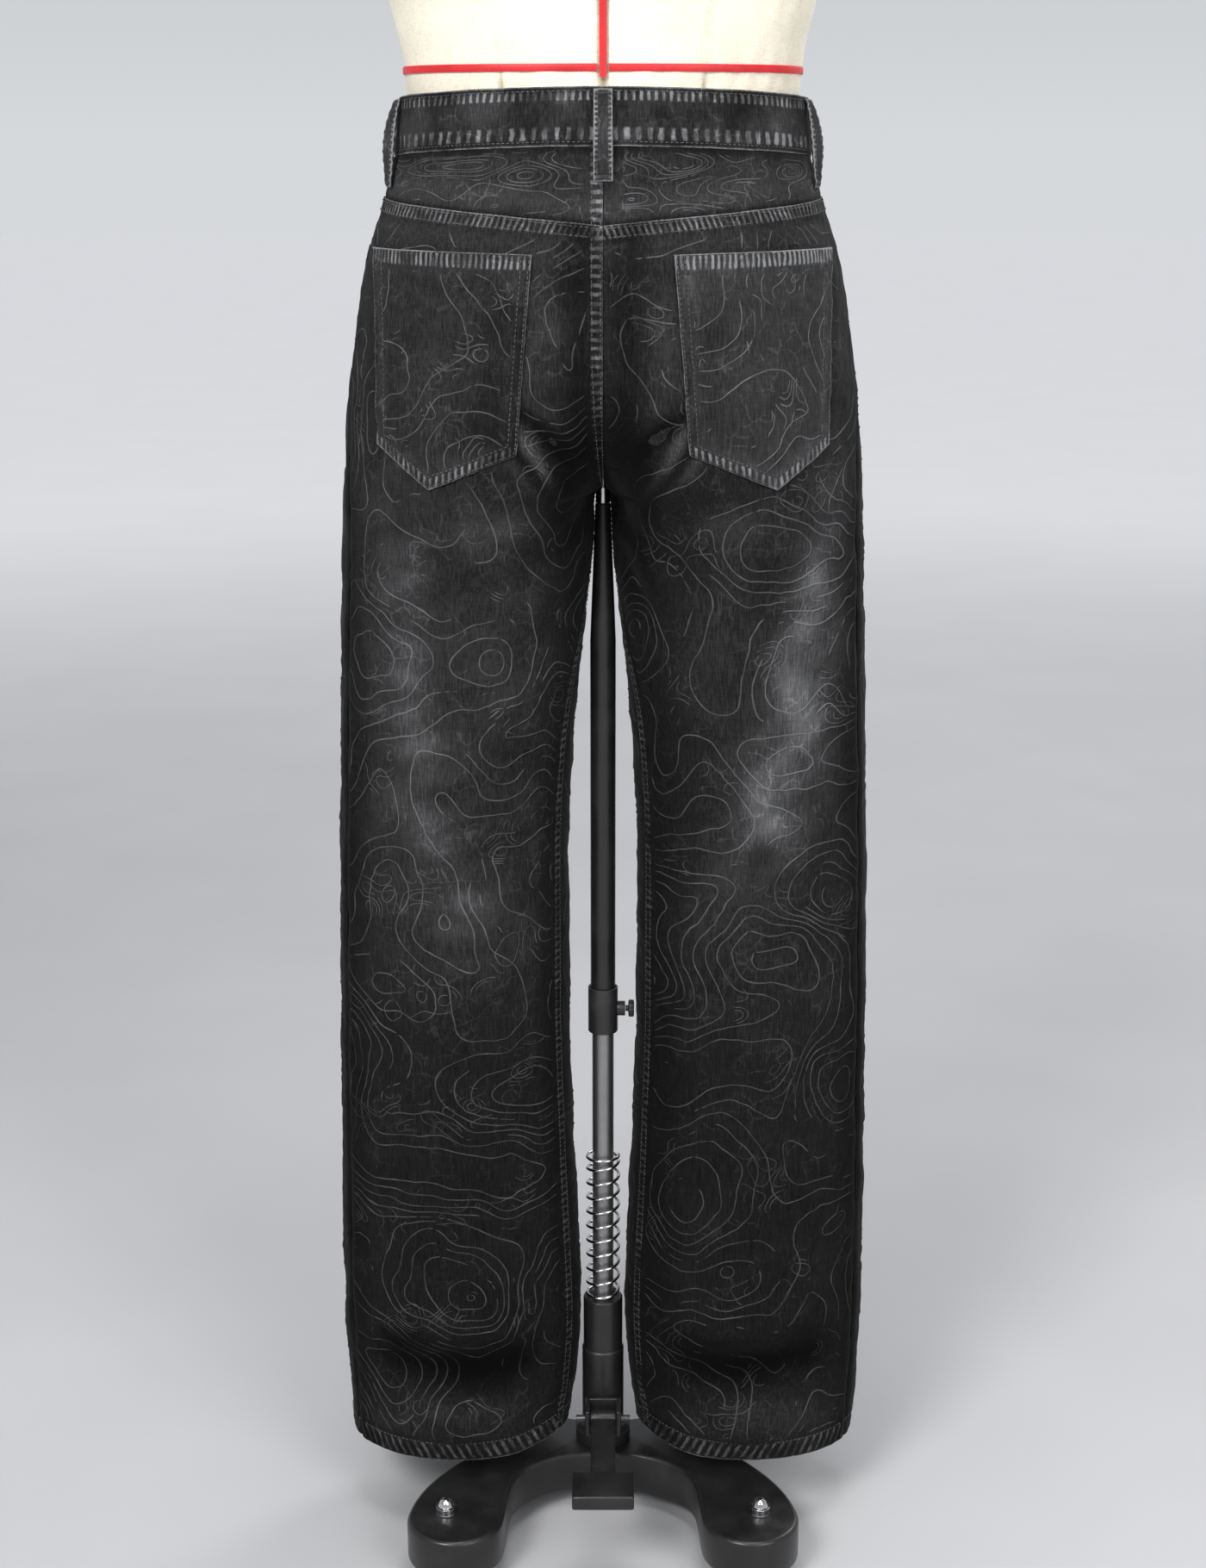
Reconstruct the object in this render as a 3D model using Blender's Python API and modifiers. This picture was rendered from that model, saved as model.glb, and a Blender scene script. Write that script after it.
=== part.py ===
"""Wide-leg jeans on a limbless dress form with a pole stand.

Metres, +Z up. The origin is on the floor below the pole. The back of the jeans faces -Y, and the wearer's left
leg is at -X. Every denim piece is cut from one surface, the outside of half the garment, which is read by its
height and by how far round it lies: from the centre back (the inseam, on a leg) round the outside to the front.
"""

import math
from collections import namedtuple

import bmesh
import bpy
import numpy as np

# Driving dimensions of the jeans
DENIM = 0.0018
BAND_WALL = 0.0030
BAND_PROUD = 0.0008
SEAM_GAP = 0.0003
LAID_ON = 0.0010
POCKET_OUT = 0.0016
HEM_HEIGHT = 0.067
HEM_RISE_INSIDE = 0.007
HEM_FOLD = 0.018
HEM_PROUD = 0.0008
CREASE_DEPTH = 0.0055
CREASE_WIDTH = 0.020
BAND_TOP_BACK = 1.156
BAND_TOP_FRONT = 1.143
BAND_BOTTOM_BACK = 1.116
BAND_BOTTOM_FRONT = 1.101
BAND_OVERLAP = 0.022
WAIST_HEIGHT = 1.130
YOKE_HEIGHT_BACK = 1.063
YOKE_HEIGHT_SIDE = 1.081
SCOOP_DEPTH = 0.062
SCOOP_SHARE = 0.31
LOOP_WIDTH = 0.013
LOOP_LENGTH = 0.062
LOOP_SEAT = 0.0005
LOOP_BULGE = 0.0058
LOOP_TWIST = 0.35
SIDE_LOOP_BACK = 0.020
FLY_WIDTH = 0.038
FLY_LENGTH = 0.150
CROTCH_HEIGHT = 0.868

# Driving dimensions of the stand
POLE_RADIUS = 0.010
POLE_BORE = 0.0091
POLE_BOTTOM = 0.430
POLE_TOP = 0.853
POLE_TAPER = 0.745
POLE_TIP_RADIUS = 0.0058
LOWER_TUBE_RADIUS = 0.00875
LOWER_TUBE_BOTTOM = 0.100
LOWER_TUBE_TOP = 0.640
SPIGOT_RADIUS = 0.0055
FORM_BOTTOM = 0.896
COLLAR_RADIUS = 0.012
COLLAR_LOW = 0.422
COLLAR_HIGH = 0.460
SCREW_HEIGHT = 0.441
SPRING_RADIUS = 0.013
SPRING_WIRE = 0.0013
SPRING_TURNS = 11.0
SPRING_LOW = 0.1851
SPRING_HIGH = 0.3120
SOCKET_TOP = 0.1835
SOCKET_STEP = 0.1375
FOOT_LOW = 0.015
FOOT_HIGH = 0.050
FOOT_NUT = (0.127, 0.115)
FOOT_END = (0.119, 0.120)
FOOT_END_RADIUS = 0.039
ARM_HALF_WIDTH = 0.026
ARM_BEND = (0.105, 0.005)
PIN_Y = -0.034
PIN_HEIGHT = 0.087
PEDAL_FAR = -0.158
PEDAL_NEAR = -0.120
PEDAL_WIDTH = 0.049
PEDAL_THICK = 0.012
BRACKET_OUT = 0.015

ROUND_STEPS = 24
MERGE = 0.00001

# The outside of the jeans, as one oval for each half. Below the crotch, outer and inner are a leg's two edges.
# Above it the halves' ovals cross the middle, where each is cut off, and from the seat up they are one oval.
# The oval itself is drawn from outer to plain, and its inner side is then moved out to inner, for the crotch's arch.
Girth = namedtuple("Girth", "height outer inner plain back front")
GIRTHS = (
    Girth(0.055, 0.2098, 0.0310, 0.0310, -0.0640, 0.0640),
    Girth(0.088, 0.2131, 0.0275, 0.0275, -0.0665, 0.0655),
    Girth(0.121, 0.2146, 0.0222, 0.0222, -0.0675, 0.0665),
    Girth(0.186, 0.2165, 0.0184, 0.0184, -0.0680, 0.0675),
    Girth(0.265, 0.2159, 0.0212, 0.0212, -0.0700, 0.0690),
    Girth(0.343, 0.2143, 0.0243, 0.0243, -0.0725, 0.0710),
    Girth(0.463, 0.2119, 0.0273, 0.0273, -0.0770, 0.0745),
    Girth(0.580, 0.2087, 0.0272, 0.0272, -0.0820, 0.0790),
    Girth(0.693, 0.2047, 0.0212, 0.0212, -0.0900, 0.0850),
    Girth(0.775, 0.2015, 0.0125, 0.0120, -0.0990, 0.0905),
    Girth(0.829, 0.1989, 0.0077, 0.0020, -0.1080, 0.0945),
    Girth(0.857, 0.1975, 0.0068, -0.0085, -0.1140, 0.0965),
    Girth(0.867, 0.1968, 0.0062, -0.0150, -0.1160, 0.0970),
    Girth(0.868, 0.1967, -0.0007, -0.0157, -0.1162, 0.0971),
    Girth(0.874, 0.1963, -0.0065, -0.0205, -0.1176, 0.0975),
    Girth(0.888, 0.1951, -0.0220, -0.0350, -0.1207, 0.0981),
    Girth(0.903, 0.1939, -0.0430, -0.0530, -0.1236, 0.0988),
    Girth(0.925, 0.1920, -0.0800, -0.0860, -0.1268, 0.0999),
    Girth(0.950, 0.1890, -0.1260, -0.1260, -0.1292, 0.1013),
    Girth(0.990, 0.1830, -0.1830, -0.1830, -0.1290, 0.1042),
    Girth(1.010, 0.1797, -0.1797, -0.1797, -0.1270, 0.1055),
    Girth(1.043, 0.1725, -0.1725, -0.1725, -0.1215, 0.1070),
    Girth(1.080, 0.1605, -0.1605, -0.1605, -0.1130, 0.1075),
    Girth(1.111, 0.1522, -0.1522, -0.1522, -0.1060, 0.1070),
    Girth(1.165, 0.1482, -0.1482, -0.1482, -0.0975, 0.1035),
)
TORSO_SQUARE = 2.2
LEG_SQUARE = 1.95
ARCH_REACH = 0.080
OUTSEAM_HIGH, OUTSEAM_LOW = math.radians(-4), math.radians(-25)
INSEAM_TURN = math.radians(22)

# Folds: where each starts and ends (round = metres from the back seam), its half width, and its depth outwards
Fold = namedtuple("Fold", "side round_a height_a round_b height_b half_width depth")
FOLDS = (
    Fold(0, 0.000, 0.890, 0.120, 0.800, 0.016, -0.0060),
    Fold(0, 0.010, 0.872, 0.165, 0.850, 0.018, -0.0050),
    Fold(0, 0.045, 0.858, 0.150, 0.905, 0.014, 0.0040),
    Fold(-1, 0.020, 0.840, 0.105, 0.690, 0.020, -0.0055),
    Fold(1, 0.020, 0.835, 0.090, 0.710, 0.020, -0.0050),
    Fold(-1, 0.060, 0.800, 0.130, 0.560, 0.030, 0.0060),
    Fold(1, 0.070, 0.790, 0.135, 0.590, 0.030, 0.0060),
    Fold(-1, 0.160, 0.820, 0.175, 0.600, 0.022, -0.0050),
    Fold(1, 0.165, 0.840, 0.180, 0.640, 0.022, -0.0050),
    Fold(-1, 0.030, 0.600, 0.150, 0.540, 0.022, -0.0060),
    Fold(1, 0.040, 0.560, 0.170, 0.500, 0.022, -0.0060),
    Fold(-1, 0.070, 0.520, 0.120, 0.440, 0.028, 0.0045),
    Fold(1, 0.090, 0.480, 0.120, 0.400, 0.028, 0.0045),
    Fold(-1, 0.040, 0.420, 0.090, 0.230, 0.024, -0.0045),
    Fold(1, 0.150, 0.420, 0.120, 0.240, 0.024, -0.0045),
    Fold(-1, 0.035, 0.158, 0.165, 0.150, 0.018, -0.0110),
    Fold(1, 0.050, 0.150, 0.175, 0.160, 0.018, -0.0110),
    Fold(-1, 0.060, 0.105, 0.150, 0.102, 0.020, 0.0050),
    Fold(1, 0.060, 0.102, 0.150, 0.106, 0.020, 0.0050),
    Fold(0, 0.500, 0.880, 0.380, 0.830, 0.018, -0.0055),
    Fold(-1, 0.470, 0.850, 0.380, 0.700, 0.022, -0.0050),
    Fold(1, 0.480, 0.840, 0.400, 0.680, 0.022, -0.0050),
    Fold(-1, 0.280, 0.600, 0.420, 0.560, 0.024, -0.0060),
    Fold(1, 0.300, 0.570, 0.430, 0.540, 0.024, -0.0060),
    Fold(-1, 0.320, 0.480, 0.360, 0.260, 0.026, -0.0045),
    Fold(1, 0.400, 0.460, 0.350, 0.250, 0.026, -0.0045),
    Fold(-1, 0.280, 0.165, 0.430, 0.155, 0.020, -0.0090),
    Fold(1, 0.290, 0.150, 0.440, 0.165, 0.020, -0.0090),
)

# Corners of a back pocket, seen square from behind: distance from the middle, and height
Corner = namedtuple("Corner", "across height")
POCKET_INNER_TOP = Corner(0.049, 1.043)
POCKET_INNER_LOW = Corner(0.061, 0.906)
POCKET_POINT = Corner(0.124, 0.879)
POCKET_OUTER_LOW = Corner(0.162, 0.908)
POCKET_OUTER_TOP = Corner(0.1635, 1.045)

# The dress form, inside the jeans up to the waist and plain above it
Bust = namedtuple("Bust", "height outer back front")
BUSTS = (
    Bust(0.985, 0.1765, -0.1185, 0.0970),
    Bust(1.030, 0.1675, -0.1145, 0.0990),
    Bust(1.060, 0.1590, -0.1110, 0.1000),
    Bust(1.090, 0.1500, -0.1040, 0.0998),
    Bust(1.115, 0.1455, -0.0980, 0.0988),
    Bust(1.145, 0.1425, -0.0935, 0.0975),
    Bust(1.168, 0.1440, -0.0915, 0.0970),
    Bust(1.218, 0.1537, -0.0940, 0.1000),
    Bust(1.290, 0.1660, -0.1040, 0.1090),
    Bust(1.370, 0.1780, -0.1150, 0.1200),
    Bust(1.430, 0.1850, -0.1150, 0.1120),
    Bust(1.475, 0.1840, -0.1020, 0.0930),
    Bust(1.505, 0.1620, -0.0880, 0.0750),
    Bust(1.530, 0.1150, -0.0760, 0.0620),
    Bust(1.548, 0.0760, -0.0660, 0.0580),
    Bust(1.575, 0.0580, -0.0560, 0.0560),
    Bust(1.610, 0.0550, -0.0530, 0.0560),
)

# Colours, roughness and metallic value
Finish = namedtuple("Finish", "colour roughness metallic")
BLACK_DENIM = Finish((0.022, 0.021, 0.023), 0.9, 0.0)
CREAM_CLOTH = Finish((0.72, 0.66, 0.52), 0.85, 0.0)
BLACK_PLASTIC = Finish((0.012, 0.012, 0.013), 0.45, 0.0)
BLACK_PAINT = Finish((0.010, 0.010, 0.011), 0.38, 0.2)
BRIGHT_STEEL = Finish((0.60, 0.60, 0.60), 0.18, 1.0)
DARK_METAL = Finish((0.10, 0.10, 0.11), 0.35, 1.0)

BACK_COLUMNS = 12
FRONT_COLUMNS = 13
BENT_ROWS = 5
BODY_ROWS = (
    1.050, 1.015, 0.980, 0.950, 0.925, 0.905, 0.888, 0.876, 0.868, 0.867, 0.857, 0.835, 0.805,
    0.770, 0.730, 0.690, 0.650, 0.610, 0.570, 0.530, 0.490, 0.445, 0.400, 0.350, 0.300, 0.250, 0.205,
    0.175, 0.150, 0.125, 0.103,
)


def start():
    for obj in list(bpy.data.objects):
        bpy.data.objects.remove(obj)
    parts = bpy.data.collections.new("wide_leg_jeans")
    bpy.context.scene.collection.children.link(parts)
    return parts


PARTS = start()


def smoothstep(low, high, value):
    t = np.clip((value - low) / (high - low), 0.0, 1.0)
    return t * t * (3.0 - 2.0 * t)


def read(rows, column, height):
    """A table's column at any heights, on a smooth curve through its rows that never overshoots them."""
    x = np.array([row.height for row in rows])
    y = np.array([getattr(row, column) for row in rows])
    step = np.diff(x)
    rise = np.diff(y) / step
    slope = np.concatenate([rise[:1], np.zeros(len(rows) - 2), rise[-1:]])
    same = rise[1:] * rise[:-1] > 0
    slope[1:-1][same] = 2 * rise[1:][same] * rise[:-1][same] / (rise[1:] + rise[:-1])[same]
    height = np.clip(height, x[0], x[-1])
    i = np.clip(np.searchsorted(x, height) - 1, 0, len(x) - 2)
    t = (height - x[i]) / step[i]
    near = y[i] * (1 + 2 * t) * (1 - t) ** 2 + slope[i] * step[i] * t * (1 - t) ** 2
    far = y[i + 1] * (3 - 2 * t) * t**2 - slope[i + 1] * step[i] * t**2 * (1 - t)
    return near + far


def oval(angle, half_width, back, front, square):
    """A point of a squared-off ellipse, with its own depth behind (back) and before (front) the middle."""
    across = np.sign(np.cos(angle)) * np.abs(np.cos(angle)) ** (2 / square)
    along = np.sign(np.sin(angle)) * np.abs(np.sin(angle)) ** (2 / square)
    depth = np.where(along < 0, -back, front)
    return half_width * across, depth * along


def run_length(points):
    return float(np.sum(np.hypot(*np.diff(points, axis=0).T)))


def spread(share, length, cut):
    """Distances from a seam for shares from 0 to 1 of a half ring that was cut off at the seam.

    The columns near the seam take up the cut, so that the others run on straight from the leg to the seat.
    """
    whole = length + cut
    power = np.clip(0.5 * whole / max(cut, 1e-6), 1.0, 5.0)
    share = np.clip(share, 0.0, 1.0)
    return whole * share + cut * (1.0 - share) ** power - cut


class Cloth:
    """The outside of one half of the jeans, as points at many heights and places round it."""

    def __init__(self, side):
        self.side = side
        plain = np.arange(0.055, 1.1651, 0.0025)
        crotch = np.arange(0.8645, 0.8800, 0.0005)
        self.heights = np.unique(np.round(np.concatenate([plain, crotch]), 5))
        self.places = np.linspace(0.0, 1.0, 161)
        outline, cut_behind, cut_before = self.outline()
        points = np.empty((len(self.heights), len(self.places), 3))
        self.back_length = np.empty(len(self.heights))
        self.front_length = np.empty(len(self.heights))
        self.rounds = np.empty(points.shape[:2])
        middle = outline.shape[1] // 2
        behind = self.places <= 0.5
        for i, ring in enumerate(outline):
            run = np.concatenate([[0.0], np.cumsum(np.hypot(*np.diff(ring, axis=0).T))])
            self.back_length[i] = run[middle]
            self.front_length[i] = run[-1] - run[middle]
            from_back = spread(2 * self.places, self.back_length[i], run_length(cut_behind[i]))
            from_front = spread(2 - 2 * self.places, self.front_length[i], run_length(cut_before[i]))
            wanted = np.where(behind, from_back, run[-1] - from_front)
            points[i, :, 0] = np.interp(wanted, run, ring[:, 0])
            points[i, :, 1] = np.interp(wanted, run, ring[:, 1])
            points[i, :, 2] = self.heights[i]
            self.rounds[i] = wanted
        self.points = points
        self.find_normals()
        self.points = self.points + self.normals * self.relief()[..., None]
        self.close_seams()
        self.find_normals()

    def close_seams(self):
        """Draws the seams behind and before the crotch back to the middle, where folds moved them off it."""
        above = self.heights[:, None] > CROTCH_HEIGHT
        for seam, away in ((0, self.rounds), (-1, self.rounds[:, -1:] - self.rounds)):
            shift = np.where(above, self.points[:, [seam], 0], 0.0)
            self.points[..., 0] -= shift * np.exp(-((away / CREASE_WIDTH) ** 2))
        self.points[..., 0] = np.maximum(self.points[..., 0], 0.0)

    def outline(self):
        """Rings of x and y from the inseam or centre back round to the front, and what is cut off at both ends."""
        height = self.heights[:, None]
        u = np.linspace(0.0, 1.0, 241)[None, :]
        girth = {name: read(GIRTHS, name, height) for name in Girth._fields[1:]}
        outseam = OUTSEAM_HIGH + (OUTSEAM_LOW - OUTSEAM_HIGH) * smoothstep(1.03, 0.80, height)
        inseam = INSEAM_TURN * smoothstep(0.86, 0.66, height)
        behind = np.linspace(-math.pi, 0.0, 721)[None, :]
        across = np.maximum.accumulate(self.ring(girth, height, behind)[0], axis=1)
        cut_off = np.array([[math.pi + np.interp(0.0, row, behind[0])] for row in across])
        turn = np.where(girth["inner"] < 0.0, cut_off, inseam)
        start, end = turn - math.pi, math.pi - turn
        end = np.where(girth["inner"] < 0.0, end, math.pi + turn)
        angle = np.where(
            u < 0.5, start + (outseam - start) * 2 * u, outseam + (end - outseam) * (2 * u - 1)
        )
        off = np.where(girth["inner"] < 0.0, cut_off, 0.0) * np.linspace(0.0, 1.0, 33)[None, :]
        rings = [self.ring(girth, height, turns) for turns in (angle, off - math.pi, math.pi - off)]
        return [np.stack(ring, axis=-1) for ring in rings]

    def ring(self, girth, height, angle):
        """Points of the oval, with its inner side moved out to the leg's inner edge."""
        square = LEG_SQUARE + (TORSO_SQUARE - LEG_SQUARE) * smoothstep(0.87, 1.0, height)
        half = (girth["outer"] - girth["plain"]) / 2
        x, y = oval(angle, half, girth["back"], girth["front"], square)
        x = x + girth["plain"] + half
        share = np.clip((x - girth["plain"]) / (ARCH_REACH - girth["plain"]), 0.0, 1.0)
        return x + (girth["inner"] - girth["plain"]) * (1.0 - share) ** 2, y

    def relief(self):
        """How far folds and the turned hem lift each point."""
        round_, height = np.broadcast_arrays(self.rounds, self.heights[:, None])
        lift = np.zeros(round_.shape)
        for fold in FOLDS:
            if fold.side in (0, self.side):
                lift = lift + fold_lift(fold, round_, height)
        place = self.places[None, :]
        from_seam = np.minimum(place, 1.0 - place)
        from_outseam = np.abs(place - 0.5)
        free = smoothstep(0.01, 0.09, from_seam) * smoothstep(0.0, 0.06, from_outseam)
        flat_seat = smoothstep(0.880, 0.815, height)
        hem = hem_height(place) + HEM_FOLD
        band = HEM_PROUD * smoothstep(hem + 0.002, hem - 0.001, height)
        crease = CREASE_DEPTH * np.exp(-((round_ / CREASE_WIDTH) ** 2))
        crease = crease * smoothstep(0.885, 0.915, height) * smoothstep(1.040, 0.980, height)
        return lift * free * flat_seat + band - crease

    def find_normals(self):
        along = np.gradient(self.points, self.places, axis=1)
        up = np.gradient(self.points, self.heights, axis=0)
        normals = np.cross(along, up)
        self.normals = normals / np.linalg.norm(normals, axis=2, keepdims=True)

    def length(self, height, part):
        return np.interp(height, self.heights, self.back_length if part == "back" else self.front_length)

    def place_behind(self, across, height):
        """The places on the back panel at these distances from the middle and heights."""
        half = len(self.places) // 2 + 1
        found = []
        for x, z in zip(np.ravel(across), np.ravel(height)):
            row = self.points[int(np.argmin(np.abs(self.heights - z))), :half, 0]
            found.append(np.interp(x, np.maximum.accumulate(row), self.places[:half]))
        return np.reshape(found, np.shape(across))

    def at(self, place, height, out=0.0):
        """The point of the surface at a place from 0 to 1 and a height, moved out by a distance."""
        place, height, out = np.broadcast_arrays(*[np.asarray(value, float) for value in (place, height, out)])
        i = np.clip(np.searchsorted(self.heights, height) - 1, 0, len(self.heights) - 2)
        j = np.clip(np.searchsorted(self.places, place) - 1, 0, len(self.places) - 2)
        s = ((height - self.heights[i]) / (self.heights[i + 1] - self.heights[i]))[..., None]
        t = ((place - self.places[j]) / (self.places[j + 1] - self.places[j]))[..., None]

        def mix(grid):
            low = grid[i, j] * (1 - t) + grid[i, j + 1] * t
            high = grid[i + 1, j] * (1 - t) + grid[i + 1, j + 1] * t
            return low * (1 - s) + high * s

        found = mix(self.points) + mix(self.normals) * out[..., None]
        found[..., 0] = np.maximum(found[..., 0], SEAM_GAP * 0.6)
        return found * np.array([self.side, 1.0, 1.0])


def fold_lift(fold, round_, height):
    run = np.array([fold.round_b - fold.round_a, fold.height_b - fold.height_a])
    length = np.hypot(*run)
    dr, dh = round_ - fold.round_a, height - fold.height_a
    t = np.clip((dr * run[0] + dh * run[1]) / length**2, 0.0, 1.0)
    away = np.hypot(dr - t * run[0], dh - t * run[1])
    ends = 0.25 + 0.75 * np.sin(math.pi * np.clip(t, 0.04, 0.96))
    return fold.depth * ends * np.exp(-((away / fold.half_width) ** 2))


def hem_height(place):
    """The hem's lower edge: a little higher at the inseam than at the outseam."""
    return HEM_HEIGHT + HEM_RISE_INSIDE * smoothstep(0.35, 0.5, np.abs(np.asarray(place) - 0.5))


def band_bottom(place):
    return BAND_BOTTOM_BACK + (BAND_BOTTOM_FRONT - BAND_BOTTOM_BACK) * smoothstep(0.0, 1.0, place)


def band_top(place):
    return BAND_TOP_BACK + (BAND_TOP_FRONT - BAND_TOP_BACK) * smoothstep(0.0, 1.0, place)


def yoke_seam(place):
    """The yoke's lower seam, a shallow V with its point at the centre back."""
    rise = np.clip(np.asarray(place) / 0.5, 0.0, 1.0)
    return YOKE_HEIGHT_BACK + (YOKE_HEIGHT_SIDE - YOKE_HEIGHT_BACK) * rise**0.9


CLOTHS = {-1: Cloth(-1), 1: Cloth(1)}
SIDES = {"left": -1, "right": 1}


def material(name, finish):
    made = bpy.data.materials.new(name)
    made.use_nodes = True
    shader = made.node_tree.nodes["Principled BSDF"]
    shader.inputs["Base Color"].default_value = (*finish.colour, 1.0)
    shader.inputs["Roughness"].default_value = finish.roughness
    shader.inputs["Metallic"].default_value = finish.metallic
    return made


def add(name, mesh, finish):
    obj = bpy.data.objects.new(name, mesh)
    mesh.materials.append(material(name, finish))
    PARTS.objects.link(obj)
    return obj


def from_bmesh(name, bm, finish):
    mesh = bpy.data.meshes.new(name)
    bm.to_mesh(mesh)
    bm.free()
    return add(name, mesh, finish)


def sheet(name, outer, inner, finish, side=1):
    """A cloth piece: the wall between an outer and an inner grid of points.

    Solidify isn't used, because it leans away at an open edge, and pieces that meet at a seam would overlap.
    """
    rows, columns = outer.shape[:2]
    bm = bmesh.new()
    out = [[bm.verts.new(outer[i, j]) for j in range(columns)] for i in range(rows)]
    within = [[bm.verts.new(inner[i, j]) for j in range(columns)] for i in range(rows)]
    for i in range(rows - 1):
        for j in range(columns - 1):
            spots = ((i, j), (i + 1, j), (i + 1, j + 1), (i, j + 1))
            bm.faces.new([out[a][b] for a, b in spots])
            bm.faces.new([within[a][b] for a, b in reversed(spots)])
    edge = [(0, j) for j in range(columns)] + [(i, columns - 1) for i in range(1, rows)]
    edge += [(rows - 1, j) for j in range(columns - 2, -1, -1)] + [(i, 0) for i in range(rows - 2, 0, -1)]
    for (a, b), (c, d) in zip(edge, edge[1:] + edge[:1]):
        bm.faces.new((out[a][b], out[c][d], within[c][d], within[a][b]))
    if side < 0:
        bmesh.ops.reverse_faces(bm, faces=bm.faces)
    obj = from_bmesh(name, bm, finish)
    obj.data.shade_smooth()
    obj.data.set_sharp_from_angle(angle=math.radians(50))
    return obj


def laid(name, cloth, spots, out, wall, finish=None):
    """A sheet whose outer side is at rows of places and heights on the cloth, moved out by a distance."""
    spots = list(spots)
    outer = np.array([cloth.at(place, height, out) for place, height in spots])
    inner = np.array([cloth.at(place, height, out - wall) for place, height in spots])
    return sheet(name, outer, inner, finish or BLACK_DENIM, cloth.side)


def on_panel(cloth, rows, place, height, out):
    """A point of the cloth moved out, for a piece that lies on a panel: clear of the panel's flat faces too."""
    places = np.array([row[0] for row in rows])
    heights = np.array([row[1] for row in rows])
    share = np.interp(place, places[-1], np.arange(places.shape[1]))
    j = min(int(share), places.shape[1] - 2)
    t = share - j
    here = heights[:, j] * (1 - t) + heights[:, j + 1] * t
    i = int(np.clip(np.sum(here > height) - 1, 0, len(rows) - 2))
    s = (here[i] - height) / (here[i] - here[i + 1])
    corners = cloth.at(places[i : i + 2, j : j + 2], heights[i : i + 2, j : j + 2])
    high = corners[0, 0] * (1 - t) + corners[0, 1] * t
    low = corners[1, 0] * (1 - t) + corners[1, 1] * t
    smooth = cloth.at(place, height)
    normal = cloth.at(place, height, 1.0) - smooth
    proud = max(0.0, float(np.dot(high * (1 - s) + low * s - smooth, normal)))
    return smooth + normal * (out + proud)


def columns_between(cloth, first, last, count, height):
    """Places round the cloth at each height, evenly spaced and half a seam gap inside both ends."""
    part = "back" if last <= 0.5 else "front"
    inset = SEAM_GAP * 0.6 / (2 * cloth.length(height, part))
    share = np.linspace(0.0, 1.0, count + 1)
    return first + inset + (last - first - 2 * inset) * share


def body_grid(cloth, first, last, count, top_line):
    """Rows of a leg panel: the first follows the top line, the next bend less, and the last follows the hem."""
    rows = []
    top = float(top_line(0.5))
    heights = [top] + [height for height in BODY_ROWS if height < top - 0.010]
    for i, height in enumerate(heights):
        place = columns_between(cloth, first, last, count, np.full(count + 1, height))
        bend = max(0.0, 1.0 - i / BENT_ROWS)
        rows.append((place, height + (top_line(place) - top) * bend))
    for above in (HEM_FOLD + 0.002, HEM_FOLD - 0.001, 0.0):
        place = columns_between(cloth, first, last, count, np.full(count + 1, HEM_HEIGHT))
        rows.append((place, hem_height(place) + above))
    return rows


def scoop_line(place):
    """The front panel's top: the waistband's seam, then the curved edge of the front pocket's opening."""
    arc_share = np.clip((np.asarray(place) - 0.5) / SCOOP_SHARE, 0.0, 1.0)
    dip = SCOOP_DEPTH * (1.0 - arc_share**2.2) ** (1 / 2.2)
    return band_bottom(place) - dip - 2 * SEAM_GAP


def back_rows(cloth):
    return body_grid(cloth, 0.0, 0.5, BACK_COLUMNS, lambda place: yoke_seam(place) - SEAM_GAP)


def leg_panels(name, side):
    cloth = CLOTHS[side]
    laid(f"back_leg_{name}", cloth, back_rows(cloth), 0.0, DENIM)
    front = body_grid(cloth, 0.5, 1.0, FRONT_COLUMNS, scoop_line)
    laid(f"front_leg_{name}", cloth, front, 0.0, DENIM)


def yoke(name, side):
    cloth = CLOTHS[side]
    rows = []
    for share in np.linspace(0.0, 1.0, 3):
        place = columns_between(cloth, 0.0, 0.5, BACK_COLUMNS, np.full(BACK_COLUMNS + 1, 1.09))
        high = band_bottom(place) - 2 * SEAM_GAP
        rows.append((place, high + (yoke_seam(place) - high) * share))
    laid(f"yoke_{name}", cloth, rows, 0.0, DENIM)


def pocket_facing(name, side):
    """The denim seen through the front pocket's opening, one wall behind the front panel."""
    cloth = CLOTHS[side]
    place = columns_between(cloth, 0.5, 0.5 + SCOOP_SHARE * 1.12, 7, np.full(8, 1.08))
    high = band_bottom(place) - 2 * SEAM_GAP
    low = np.minimum(scoop_line(place) - 0.016, high - 0.018)
    rows = [(place, high + (low - high) * share) for share in np.linspace(0.0, 1.0, 5)]
    laid(f"pocket_facing_{name}", cloth, rows, -DENIM - LAID_ON, DENIM)


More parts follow.
